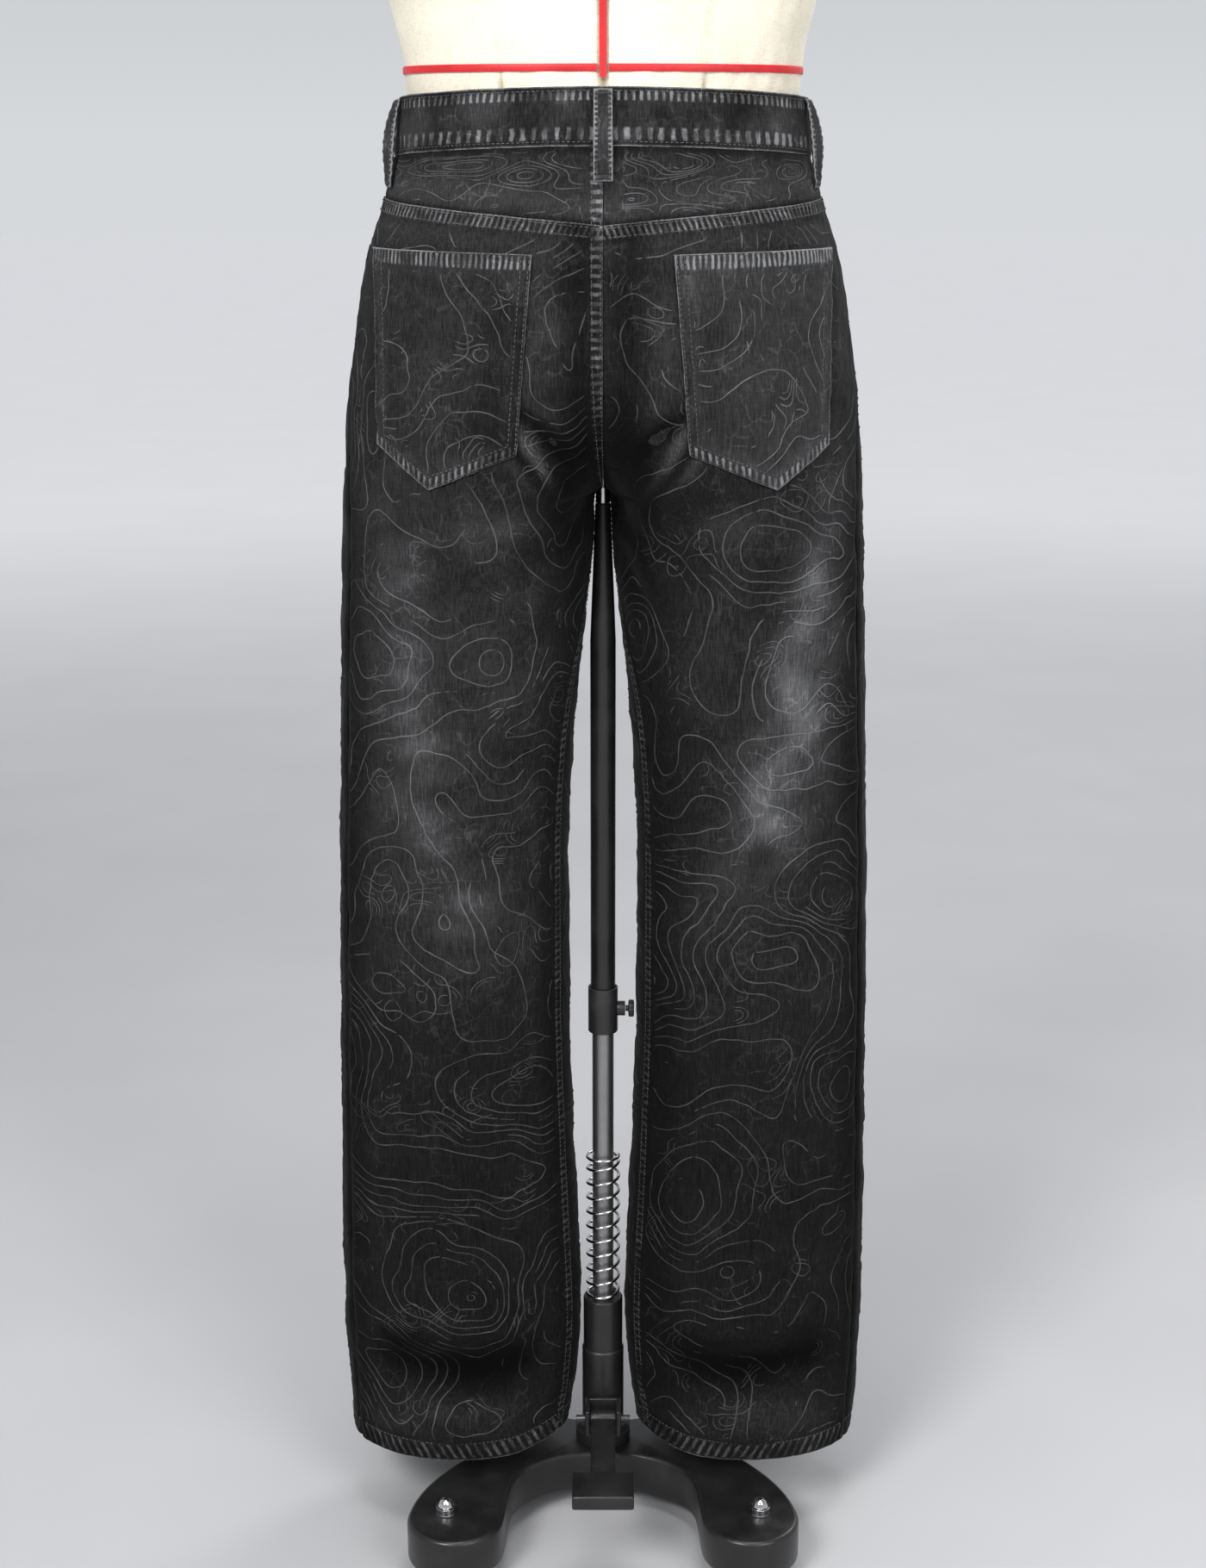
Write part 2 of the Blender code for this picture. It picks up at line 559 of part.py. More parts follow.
def back_pocket(name, side):
    """A patch pocket with a pointed lower edge, laid on the back panel."""
    cloth = CLOTHS[side]
    across, down = 9, 9
    rows = []
    for q in np.linspace(0.0, 1.0, down + 1):
        row = []
        for p in np.linspace(0.0, 1.0, across + 1):
            top = corner_mix(POCKET_INNER_TOP, POCKET_OUTER_TOP, p)
            width = POCKET_OUTER_LOW.across - POCKET_INNER_LOW.across
            turn = (POCKET_POINT.across - POCKET_INNER_LOW.across) / width
            if p < turn:
                low = corner_mix(POCKET_INNER_LOW, POCKET_POINT, p / turn)
            else:
                low = corner_mix(POCKET_POINT, POCKET_OUTER_LOW, (p - turn) / (1 - turn))
            row.append(corner_mix(top, low, q))
        rows.append(row)
    spots = np.array(rows)
    places = cloth.place_behind(spots[..., 0], spots[..., 1])
    panel = back_rows(cloth)

    def moved_out(out):
        return np.array([
            [on_panel(cloth, panel, place, height, out) for place, height in zip(*row)]
            for row in zip(places, spots[..., 1])
        ])

    sheet(f"back_pocket_{name}", moved_out(POCKET_OUT + DENIM), moved_out(POCKET_OUT), BLACK_DENIM, side)


def corner_mix(a, b, share):
    return Corner(a.across + (b.across - a.across) * share, a.height + (b.height - a.height) * share)


def ring_place(distance):
    """The place at a distance round the waist from the centre back: over 1 past the centre front."""
    away = abs(distance)
    behind = CLOTHS[1].length(WAIST_HEIGHT, "back")
    before = CLOTHS[1].length(WAIST_HEIGHT, "front")
    return 0.5 * away / behind if away < behind else 0.5 + 0.5 * (away - behind) / before


def whole_ring(distance, height, out):
    """A point of the waist by its distance from the centre back, positive to the wearer's right."""
    side = 1 if distance >= 0 else -1
    place = ring_place(distance)
    if place <= 1.0:
        return CLOTHS[side].at(place, height, out)
    return CLOTHS[-side].at(2.0 - place, height, out)


def waist_place(distance):
    return min(ring_place(distance), 1.0)


def waistband():
    """One strip round the waist. Its left end laps over its right end at the centre front."""
    cloth = CLOTHS[1]
    half = float(cloth.length(WAIST_HEIGHT, "back") + cloth.length(WAIST_HEIGHT, "front"))
    count = 56
    rows = []
    for share in np.linspace(1.0, 0.0, 4):
        row = []
        for distance in np.linspace(-half - BAND_OVERLAP, half + BAND_OVERLAP, count + 1):
            place = waist_place(distance)
            height = band_bottom(place) + (band_top(place) - band_bottom(place)) * share
            lap = smoothstep(half - 0.055, half - 0.024, -distance)
            out = BAND_PROUD + (BAND_WALL + 0.0006) * lap
            row.append((distance, height, out))
        rows.append(row)
    ring_sheet("waistband", rows, BAND_WALL)


def ring_sheet(name, rows, wall):
    """A sheet on the waist, from rows of distance round, height and distance out."""
    outer = np.array([[whole_ring(a, b, c) for a, b, c in row] for row in rows])
    inner = np.array([[whole_ring(a, b, c - wall) for a, b, c in row] for row in rows])
    sheet(name, outer, inner, BLACK_DENIM)


def belt_loop(name, distance, twist=0.0):
    """A narrow strip over the waistband, standing off it between its two sewn ends."""
    rows = []
    top = band_top(waist_place(distance)) - 0.002
    for share in np.linspace(0.0, 1.0, 8):
        height = top - LOOP_LENGTH * share
        on_band = smoothstep(BAND_BOTTOM_FRONT - 0.006, BAND_BOTTOM_FRONT + 0.008, height)
        bulge = LOOP_BULGE * math.sin(math.pi * share) ** 0.7 if 0.0 < share < 1.0 else 0.0
        out = LOOP_SEAT + DENIM + BAND_PROUD * on_band + bulge
        places = np.linspace(distance - LOOP_WIDTH / 2, distance + LOOP_WIDTH / 2, 3)
        turn = twist * math.sin(math.pi * share)
        rows.append([(place, height, out + turn * (abs(place) - abs(distance))) for place in places])
    ring_sheet(name, rows, DENIM)


def fly_placket():
    """The fly's flap: a strip with a curved lower end on the wearer's left front, beside the centre seam."""
    cloth = CLOTHS[-1]
    rows = []
    for share in np.linspace(0.0, 1.0, 9):
        height = BAND_BOTTOM_FRONT - 0.001 - FLY_LENGTH * share
        width = FLY_WIDTH * (1.0 - smoothstep(0.72, 1.0, share) * 0.75)
        length = cloth.length(height, "front")
        place = 1.0 - np.linspace(width, 0.0006, 5) / (2 * length)
        rows.append((place, np.full(5, height)))
    laid("fly_placket", cloth, rows, LAID_ON + DENIM, DENIM)


def turned(name, profile, finish, hollow=False, steps=ROUND_STEPS):
    """A shape turned about Z from a profile of radius and height that runs down its outer side."""
    mesh = bpy.data.meshes.new(name)
    points = [(radius, 0.0, height) for radius, height in profile]
    edges = [(i, i + 1) for i in range(len(points) - 1)]
    if hollow:
        edges.append((len(points) - 1, 0))
    mesh.from_pydata(points, edges, [])
    obj = add(name, mesh, finish)
    screw = obj.modifiers.new("turn", "SCREW")
    screw.steps = steps
    screw.render_steps = steps
    screw.use_merge_vertices = True
    screw.merge_threshold = MERGE
    return obj


def tube(name, radius, bore, low, high, finish):
    profile = [(bore, high), (radius, high), (radius, low), (bore, low)]
    return turned(name, profile, finish, hollow=True)


def box(name, low, high, finish, bevel=0.0):
    bm = bmesh.new()
    bmesh.ops.create_cube(bm, size=1.0)
    middle = [(a + b) / 2 for a, b in zip(low, high)]
    size = [b - a for a, b in zip(low, high)]
    for vert in bm.verts:
        vert.co = [middle[k] + vert.co[k] * size[k] for k in range(3)]
    obj = from_bmesh(name, bm, finish)
    if bevel:
        soften(obj, bevel)
    return obj


def soften(obj, width, segments=2):
    bevel = obj.modifiers.new("edges", "BEVEL")
    bevel.width = width
    bevel.segments = segments
    bevel.limit_method = "ANGLE"
    return bevel


def combine(obj, other, operation):
    """Joins or cuts with another object, which then stays hidden as a helper."""
    boolean = obj.modifiers.new(operation.lower(), "BOOLEAN")
    boolean.operation = operation
    boolean.object = other
    other.hide_render = True
    other.display_type = "WIRE"
    PARTS.objects.unlink(other)
    CUTTERS.objects.link(other)


def helpers():
    cutters = bpy.data.collections.new("cutters")
    bpy.context.scene.collection.children.link(cutters)
    return cutters


CUTTERS = helpers()


def waist_button():
    """A shank button on the lapped end of the waistband, facing forwards."""
    height = (BAND_TOP_FRONT + BAND_BOTTOM_FRONT) / 2
    spot = CLOTHS[-1].at(1.0, height, BAND_PROUD + BAND_WALL + 0.0006)
    profile = [
        (0.0, 0.0042),
        (0.0060, 0.0038),
        (0.0082, 0.0028),
        (0.0085, 0.0018),
        (0.0030, 0.0016),
        (0.0030, 0.0),
        (0.0, 0.0),
    ]
    obj = turned("waist_button", profile, DARK_METAL, steps=20)
    obj.rotation_euler = (-math.pi / 2, 0.0, 0.0)
    obj.location = (spot[0] + BAND_OVERLAP * 0.35, spot[1] + 0.0005, spot[2])


def torso_form():
    """The dress form: rings of a squared oval, closed by a round bottom and by a flat top under the neck cap."""
    bowl = BUSTS[0]
    rings = []
    for share in (0.0, 0.02, 0.08, 0.2, 0.4, 0.65):
        height = FORM_BOTTOM + (bowl.height - FORM_BOTTOM) * share
        size = max((1.0 - (1.0 - share) ** 1.8) ** 0.5, 0.12)
        rings.append((height, bowl.outer * size, bowl.back * size, bowl.front * size))
    for height in np.concatenate([np.linspace(0.985, 1.45, 15), np.linspace(1.475, 1.61, 7)]):
        rings.append((height, *[float(read(BUSTS, name, height)) for name in ("outer", "back", "front")]))
    angles = np.linspace(0.0, 2 * math.pi, 28, endpoint=False)
    bm = bmesh.new()
    loops = []
    for height, outer, back, front in rings:
        x, y = oval(angles, outer, back, front, TORSO_SQUARE)
        loops.append([bm.verts.new((a, b, height)) for a, b in zip(x, y)])
    for low, high in zip(loops, loops[1:]):
        for j in range(len(angles)):
            k = (j + 1) % len(angles)
            bm.faces.new((low[j], low[k], high[k], high[j]))
    bm.faces.new(loops[0][::-1])
    bm.faces.new(loops[-1])
    obj = from_bmesh("torso_form", bm, CREAM_CLOTH)
    obj.data.shade_smooth()


def neck_cap():
    top = BUSTS[-1].height + SEAM_GAP
    profile = [
        (0.0, top + 0.045),
        (0.010, top + 0.043),
        (0.014, top + 0.034),
        (0.009, top + 0.024),
        (0.012, top + 0.016),
        (0.050, top + 0.010),
        (0.056, top + 0.004),
        (0.055, top),
        (0.0, top),
    ]
    turned("neck_cap", profile, BLACK_PLASTIC)


def spigot():
    """A bright pin on the upper tube, with the flange that carries the dress form."""
    profile = [
        (0.0, FORM_BOTTOM - SEAM_GAP),
        (0.018, FORM_BOTTOM - SEAM_GAP),
        (0.018, FORM_BOTTOM - 0.004),
        (SPIGOT_RADIUS, FORM_BOTTOM - 0.006),
        (SPIGOT_RADIUS, POLE_TOP + SEAM_GAP),
        (0.0, POLE_TOP + SEAM_GAP),
    ]
    turned("spigot", profile, BRIGHT_STEEL)


def upper_tube():
    """The black tube, drawn in to its closed top, with a bore that takes the lower tube."""
    profile = [
        (0.0, POLE_TOP),
        (POLE_TIP_RADIUS, POLE_TOP),
        (POLE_RADIUS, POLE_TAPER),
        (POLE_RADIUS, POLE_BOTTOM),
        (POLE_BORE, POLE_BOTTOM),
        (POLE_BORE, POLE_TAPER - 0.010),
        (0.0, POLE_TAPER - 0.010),
    ]
    turned("upper_tube", profile, BLACK_PAINT)


def clamp_collar():
    """The clamp at the upper tube's lower end, with a threaded boss for its screw."""
    profile = [
        (POLE_BORE, POLE_BOTTOM - SEAM_GAP),
        (POLE_RADIUS + SEAM_GAP, POLE_BOTTOM - SEAM_GAP),
        (POLE_RADIUS + SEAM_GAP, COLLAR_HIGH),
        (COLLAR_RADIUS - 0.0005, COLLAR_HIGH),
        (COLLAR_RADIUS, COLLAR_HIGH - 0.001),
        (COLLAR_RADIUS, COLLAR_LOW + 0.001),
        (COLLAR_RADIUS - 0.0005, COLLAR_LOW),
        (POLE_BORE, COLLAR_LOW),
    ]
    collar = turned("clamp_collar", profile, BLACK_PLASTIC, hollow=True)
    boss = round_bar("collar_boss", 0.006, 0.0112, 0.0180, SCREW_HEIGHT, BLACK_PLASTIC)
    combine(collar, boss, "UNION")


def round_bar(name, radius, near, far, height, finish, steps=16):
    """A cylinder along X."""
    obj = turned(name, [(0.0, far), (radius, far), (radius, near), (0.0, near)], finish, steps=steps)
    obj.rotation_euler = (0.0, math.pi / 2, 0.0)
    obj.location = (0.0, 0.0, height)
    return obj


def thumbscrew():
    profile = [
        (0.0, 0.0252),
        (0.0058, 0.0252),
        (0.0070, 0.0246),
        (0.0070, 0.0212),
        (0.0058, 0.0206),
        (0.0024, 0.0204),
        (0.0024, 0.0183),
        (0.0, 0.0183),
    ]
    screw = turned("thumbscrew", profile, BLACK_PLASTIC, steps=20)
    screw.rotation_euler = (0.0, math.pi / 2, 0.0)
    screw.location = (0.0, 0.0, SCREW_HEIGHT)


def pole_socket():
    """The cast socket that holds the lower tube, on its round flange."""
    profile = [
        (LOWER_TUBE_RADIUS + SEAM_GAP, SOCKET_TOP),
        (0.0158, SOCKET_TOP),
        (0.0164, SOCKET_TOP - 0.001),
        (0.0164, SOCKET_STEP),
        (0.0175, SOCKET_STEP - 0.001),
        (0.0175, 0.068),
        (0.0230, 0.062),
        (0.0230, FOOT_HIGH + SEAM_GAP),
        (0.0, FOOT_HIGH + SEAM_GAP),
        (0.0, LOWER_TUBE_BOTTOM - SEAM_GAP),
        (LOWER_TUBE_RADIUS + SEAM_GAP, LOWER_TUBE_BOTTOM - SEAM_GAP),
    ]
    turned("pole_socket", profile, BLACK_PAINT, hollow=True)


def coil_spring():
    """A spring round the lower tube, with closed end turns, standing on the socket."""
    curve = bpy.data.curves.new("coil_spring", "CURVE")
    curve.dimensions = "3D"
    curve.bevel_depth = SPRING_WIRE
    curve.bevel_resolution = 2
    curve.use_fill_caps = True
    count = int(SPRING_TURNS * 9) + 1
    line = curve.splines.new("POLY")
    line.points.add(count - 1)
    for i in range(count):
        turn = i / (count - 1) * SPRING_TURNS
        angle = 2 * math.pi * turn
        flat_turns = 0.75
        middle = np.clip((turn - flat_turns) / (SPRING_TURNS - 2 * flat_turns), 0.0, 1.0)
        close = 0.0025 * (min(turn, flat_turns) - min(SPRING_TURNS - turn, flat_turns) + flat_turns)
        rise = SPRING_HIGH - SPRING_LOW - 0.0025 * 2 * flat_turns
        height = SPRING_LOW + close + rise * middle
        place = (SPRING_RADIUS * math.cos(angle), SPRING_RADIUS * math.sin(angle), height, 1.0)
        line.points[i].co = place
    add("coil_spring", curve, BRIGHT_STEEL)


def foot_cross():
    """The cast base: four arms that bend outwards from the middle to round ends."""
    bend, end = np.array(ARM_BEND), np.array(FOOT_END)

    def edge(turn, shares):
        points = []
        for t in shares:
            middle = 2 * t * (1 - t) * bend + t * t * end
            along = 2 * (1 - t) * bend + 2 * t * (end - bend)
            along = along / np.hypot(*along)
            half = ARM_HALF_WIDTH + (FOOT_END_RADIUS - ARM_HALF_WIDTH) * smoothstep(0.55, 1.0, t)
            points.append(middle + turn * half * np.array([-along[1], along[0]]))
        return points

    last = (end - bend) / np.hypot(*(end - bend))
    facing = math.atan2(last[1], last[0])
    cap = [
        end + FOOT_END_RADIUS * np.array([math.cos(facing + a), math.sin(facing + a)])
        for a in np.linspace(math.pi / 2, -math.pi / 2, 11)[1:-1]
    ]
    inner = edge(1, np.linspace(0.0, 1.0, 9))
    outer = edge(-1, np.linspace(1.0, 0.42, 6))
    quarter = np.maximum(np.array(inner + cap + outer), 0.0)
    quarter[0, 0] = 0.0
    quarter[-1, 1] = 0.0
    around = [quarter]
    around.append((quarter * [1, -1])[::-1][1:])
    around.append((quarter * [-1, -1])[1:])
    around.append((quarter * [-1, 1])[::-1][1:-1])
    bm = bmesh.new()
    outline = [bm.verts.new((x, y, FOOT_LOW)) for x, y in np.concatenate(around)]
    face = bm.faces.new(outline)
    raised = bmesh.ops.extrude_face_region(bm, geom=[face])["geom"]
    lifted = [item for item in raised if isinstance(item, bmesh.types.BMVert)]
    bmesh.ops.translate(bm, vec=(0.0, 0.0, FOOT_HIGH - FOOT_LOW), verts=lifted)
    bmesh.ops.recalc_face_normals(bm, faces=bm.faces)
    soften(from_bmesh("foot_cross", bm, BLACK_PAINT), 0.003, segments=1)


def cap_nut(name, x, y):
    profile = [
        (0.0, 0.0125),
        (0.0032, 0.0116),
        (0.0055, 0.0080),
        (0.0080, 0.0030),
        (0.0080, 0.0),
        (0.0, 0.0),
    ]
    nut = turned(name, profile, BRIGHT_STEEL, steps=14)
    nut.location = (x, y, FOOT_HIGH + SEAM_GAP)


def glide_foot(name, x, y):
    profile = [(0.0, FOOT_LOW - SEAM_GAP), (0.017, FOOT_LOW - SEAM_GAP), (0.017, 0.002), (0.015, 0.0), (0.0, 0.0)]
    turned(name, profile, BLACK_PLASTIC, steps=16).location = (x, y, 0.0)


def pedal_bracket():
    """Two cheeks on a plate against the socket, bored for the pedal's pin."""
    near, far = -0.0178, PIN_Y - 0.009
    low, high = PIN_HEIGHT - 0.012, PIN_HEIGHT + 0.011
    bracket = box("pedal_bracket", (-BRACKET_OUT, near - 0.004, low), (BRACKET_OUT, near, high), BLACK_PAINT)
    for name, sign in SIDES.items():
        inside, outside = sorted((sign * (BRACKET_OUT - 0.004), sign * BRACKET_OUT))
        cheek = box(f"cheek_{name}", (inside, far, low), (outside, near - 0.001, high), BLACK_PAINT)
        combine(bracket, cheek, "UNION")
    bore = round_bar("bracket_bore", 0.0033, -0.03, 0.03, PIN_HEIGHT, BLACK_PAINT)
    bore.location.y = PIN_Y
    combine(bracket, bore, "DIFFERENCE")


def pedal_pin():
    pin = round_bar("pedal_pin", 0.0030, -0.0225, 0.0225, PIN_HEIGHT, DARK_METAL)
    pin.location.y = PIN_Y


def foot_pedal():
    """The pedal: a sleeve on the pin, an arm and a tread plate."""
    half = PEDAL_WIDTH / 2
    top = PIN_HEIGHT + 0.004
    tread = box(
        "foot_pedal", (-half, PEDAL_FAR, top - PEDAL_THICK), (half, PEDAL_NEAR, top), BLACK_PAINT, bevel=0.0012
    )
    arm = box("pedal_arm", (-0.010, PEDAL_NEAR - 0.004, top - 0.009), (0.010, PIN_Y - 0.003, top - 0.001), BLACK_PAINT)
    sleeve = round_bar("pedal_sleeve", 0.0065, -0.0105, 0.0105, PIN_HEIGHT, BLACK_PAINT)
    sleeve.location.y = PIN_Y
    bore = round_bar("pedal_bore", 0.0033, -0.02, 0.02, PIN_HEIGHT, BLACK_PAINT)
    bore.location.y = PIN_Y
    combine(tread, arm, "UNION")
    combine(tread, sleeve, "UNION")
    combine(tread, bore, "DIFFERENCE")


def jeans():
    for name, side in SIDES.items():
        leg_panels(name, side)
        yoke(name, side)
        pocket_facing(name, side)
        back_pocket(name, side)
    waistband()
    half = float(CLOTHS[1].length(WAIST_HEIGHT, "back"))
    belt_loop("belt_loop_back", 0.0)
    for name, side in SIDES.items():
        belt_loop(f"belt_loop_side_{name}", side * (half - SIDE_LOOP_BACK), LOOP_TWIST)
        belt_loop(f"belt_loop_front_{name}", side * (half + 0.150))
    fly_placket()
    waist_button()


def stand():
    torso_form()
    neck_cap()
    spigot()
    upper_tube()
    clamp_collar()
    thumbscrew()
    tube("lower_tube", LOWER_TUBE_RADIUS, 0.0070, LOWER_TUBE_BOTTOM, LOWER_TUBE_TOP, BRIGHT_STEEL)
    coil_spring()
    pole_socket()
    pedal_bracket()
    pedal_pin()
    foot_pedal()
    foot_cross()
    for end, along in (("back", -1), ("front", 1)):
        for name, side in SIDES.items():
            cap_nut(f"cap_nut_{end}_{name}", side * FOOT_NUT[0], along * FOOT_NUT[1])
            glide_foot(f"glide_foot_{end}_{name}", side * FOOT_END[0], along * FOOT_END[1])


jeans()
stand()
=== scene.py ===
"""The looks of wide-leg jeans on a dress form stand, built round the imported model.

Metres, +Z up, the back of the jeans towards -Y. Each denim piece is a fine mesh on the same surface as its
solid: the outside of half the jeans, read by its height and by its place from the centre back to the front.
"""

import math
from collections import namedtuple
from types import SimpleNamespace

import bmesh
import bpy
import numpy as np
from mathutils import Matrix, Vector


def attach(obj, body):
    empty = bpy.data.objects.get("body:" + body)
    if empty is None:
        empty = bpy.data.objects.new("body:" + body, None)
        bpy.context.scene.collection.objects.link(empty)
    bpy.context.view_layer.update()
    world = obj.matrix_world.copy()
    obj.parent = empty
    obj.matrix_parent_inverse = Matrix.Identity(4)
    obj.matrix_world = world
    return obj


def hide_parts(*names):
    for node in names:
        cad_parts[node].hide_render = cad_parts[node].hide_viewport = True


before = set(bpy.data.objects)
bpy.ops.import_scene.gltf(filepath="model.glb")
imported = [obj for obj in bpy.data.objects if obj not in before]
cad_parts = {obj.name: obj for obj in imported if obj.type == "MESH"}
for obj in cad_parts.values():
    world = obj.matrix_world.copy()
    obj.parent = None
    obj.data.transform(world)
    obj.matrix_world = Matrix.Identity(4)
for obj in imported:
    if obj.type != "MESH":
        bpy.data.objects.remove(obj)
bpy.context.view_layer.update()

# The jeans' sizes, as in the solids
DENIM = 0.0018
BAND_WALL = 0.0030
BAND_PROUD = 0.0008
SEAM_GAP = 0.0003
LAID_ON = 0.0010
POCKET_OUT = 0.0016
HEM_HEIGHT = 0.067
HEM_RISE_INSIDE = 0.007
HEM_FOLD = 0.018
HEM_PROUD = 0.0008
CREASE_DEPTH = 0.0055
CREASE_WIDTH = 0.020
BAND_TOP_BACK = 1.156
BAND_TOP_FRONT = 1.143
BAND_BOTTOM_BACK = 1.116
BAND_BOTTOM_FRONT = 1.101
BAND_OVERLAP = 0.022
WAIST_HEIGHT = 1.130
YOKE_HEIGHT_BACK = 1.063
YOKE_HEIGHT_SIDE = 1.081
SCOOP_DEPTH = 0.062
SCOOP_SHARE = 0.31
LOOP_WIDTH = 0.013
LOOP_LENGTH = 0.062
LOOP_SEAT = 0.0005
LOOP_BULGE = 0.0058
LOOP_TWIST = 0.35
SIDE_LOOP_BACK = 0.020
FLY_WIDTH = 0.038
FLY_LENGTH = 0.150
CROTCH_HEIGHT = 0.868

# The sewing: widths in from an edge, and pitches of the pale rungs across them
EDGE_INSET = 0.0007
FELL_WIDTH, FELL_PITCH = 0.0100, 0.0062
TOP_WIDTH = {"back": 0.0105, "front": 0.0080}
TOP_PITCH = {"back": 0.0046, "front": 0.0060}
HEM_PITCH = 0.0072
HEM_STITCH = 0.0165
POCKET_TOP_WIDTH, POCKET_TOP_PITCH = 0.0120, 0.0043
POCKET_LOW_WIDTH, POCKET_LOW_PITCH = 0.0085, 0.0052
POCKET_TURNING = 0.0095
BAND_TOP_WIDTH, BAND_TOP_PITCH = 0.0085, 0.0053
BAND_LOW_WIDTH, BAND_LOW_PITCH = 0.0110, 0.0080
LOOP_EDGE_WIDTH, LOOP_EDGE_PITCH = 0.0034, 0.0036
FLY_EDGE_WIDTH, FLY_EDGE_PITCH = 0.0075, 0.0060

# The double rows of stitches: distances in from a seam or an edge
FELL_ROWS = (0.0018, 0.0080)
YOKE_ROWS = (0.0022, 0.0085)
POCKET_ROWS = (0.0018, 0.0082)
SCOOP_ROWS = (0.0020, 0.0085)

# Flat sizes, as cut
YOKE_FLAT = 0.055

# The lattice of points on the cloth's outside
LATTICE_LOW, LATTICE_HIGH, LATTICE_STEP = 0.055, 1.165, 0.0025
CROTCH_LOW, CROTCH_HIGH, CROTCH_STEP = 0.8645, 0.8800, 0.0005
PLACES = 241

# The stand's sizes, as in the solids
POLE_RADIUS = 0.010
POLE_BORE = 0.0091
POLE_BOTTOM = 0.430
POLE_TOP = 0.853
POLE_TAPER = 0.745
POLE_TIP_RADIUS = 0.0058
LOWER_TUBE_RADIUS = 0.00875
LOWER_TUBE_BOTTOM = 0.100
LOWER_TUBE_TOP = 0.640
SPIGOT_RADIUS = 0.0055
COLLAR_RADIUS = 0.012
COLLAR_LOW = 0.422
COLLAR_HIGH = 0.460
SCREW_HEIGHT = 0.441
SPRING_RADIUS = 0.013
SPRING_WIRE = 0.0013
SPRING_TURNS = 11.0
SPRING_LOW = 0.1851
SPRING_HIGH = 0.3120
SPRING_FLAT, SPRING_CLOSE = 0.75, 0.0025
SOCKET_TOP = 0.1835
SOCKET_STEP = 0.1375
FOOT_LOW = 0.015
FOOT_HIGH = 0.050
FOOT_NUT = (0.127, 0.115)
FOOT_END = (0.119, 0.120)
FOOT_END_RADIUS = 0.039
ARM_HALF_WIDTH = 0.026
ARM_BEND = (0.105, 0.005)
PIN_Y = -0.034
PIN_HEIGHT = 0.087
PEDAL_FAR = -0.158
PEDAL_NEAR = -0.120
PEDAL_WIDTH = 0.049
PEDAL_THICK = 0.012
BRACKET_OUT = 0.015

# The room and the camera
FLOOR_RADIUS = 30.0
CAMERA_PLACE = (0.0, -1.76, 1.118)
CAMERA_TILT = 15.5
FOCAL_LENGTH = 53.05

Girth = namedtuple("Girth", "height outer inner plain back front")
GIRTHS = (
    Girth(0.055, 0.2098, 0.0310, 0.0310, -0.0640, 0.0640),
    Girth(0.088, 0.2131, 0.0275, 0.0275, -0.0665, 0.0655),
    Girth(0.121, 0.2146, 0.0222, 0.0222, -0.0675, 0.0665),
    Girth(0.186, 0.2165, 0.0184, 0.0184, -0.0680, 0.0675),
    Girth(0.265, 0.2159, 0.0212, 0.0212, -0.0700, 0.0690),
    Girth(0.343, 0.2143, 0.0243, 0.0243, -0.0725, 0.0710),
    Girth(0.463, 0.2119, 0.0273, 0.0273, -0.0770, 0.0745),
    Girth(0.580, 0.2087, 0.0272, 0.0272, -0.0820, 0.0790),
    Girth(0.693, 0.2047, 0.0212, 0.0212, -0.0900, 0.0850),
    Girth(0.775, 0.2015, 0.0125, 0.0120, -0.0990, 0.0905),
    Girth(0.829, 0.1989, 0.0077, 0.0020, -0.1080, 0.0945),
    Girth(0.857, 0.1975, 0.0068, -0.0085, -0.1140, 0.0965),
    Girth(0.867, 0.1968, 0.0062, -0.0150, -0.1160, 0.0970),
    Girth(0.868, 0.1967, -0.0007, -0.0157, -0.1162, 0.0971),
    Girth(0.874, 0.1963, -0.0065, -0.0205, -0.1176, 0.0975),
    Girth(0.888, 0.1951, -0.0220, -0.0350, -0.1207, 0.0981),
    Girth(0.903, 0.1939, -0.0430, -0.0530, -0.1236, 0.0988),
    Girth(0.925, 0.1920, -0.0800, -0.0860, -0.1268, 0.0999),
    Girth(0.950, 0.1890, -0.1260, -0.1260, -0.1292, 0.1013),
    Girth(0.990, 0.1830, -0.1830, -0.1830, -0.1290, 0.1042),
    Girth(1.010, 0.1797, -0.1797, -0.1797, -0.1270, 0.1055),
    Girth(1.043, 0.1725, -0.1725, -0.1725, -0.1215, 0.1070),
    Girth(1.080, 0.1605, -0.1605, -0.1605, -0.1130, 0.1075),
    Girth(1.111, 0.1522, -0.1522, -0.1522, -0.1060, 0.1070),
    Girth(1.165, 0.1482, -0.1482, -0.1482, -0.0975, 0.1035),
)
TORSO_SQUARE = 2.2
LEG_SQUARE = 1.95
ARCH_REACH = 0.080
OUTSEAM_HIGH, OUTSEAM_LOW = math.radians(-4), math.radians(-25)
INSEAM_TURN = math.radians(22)

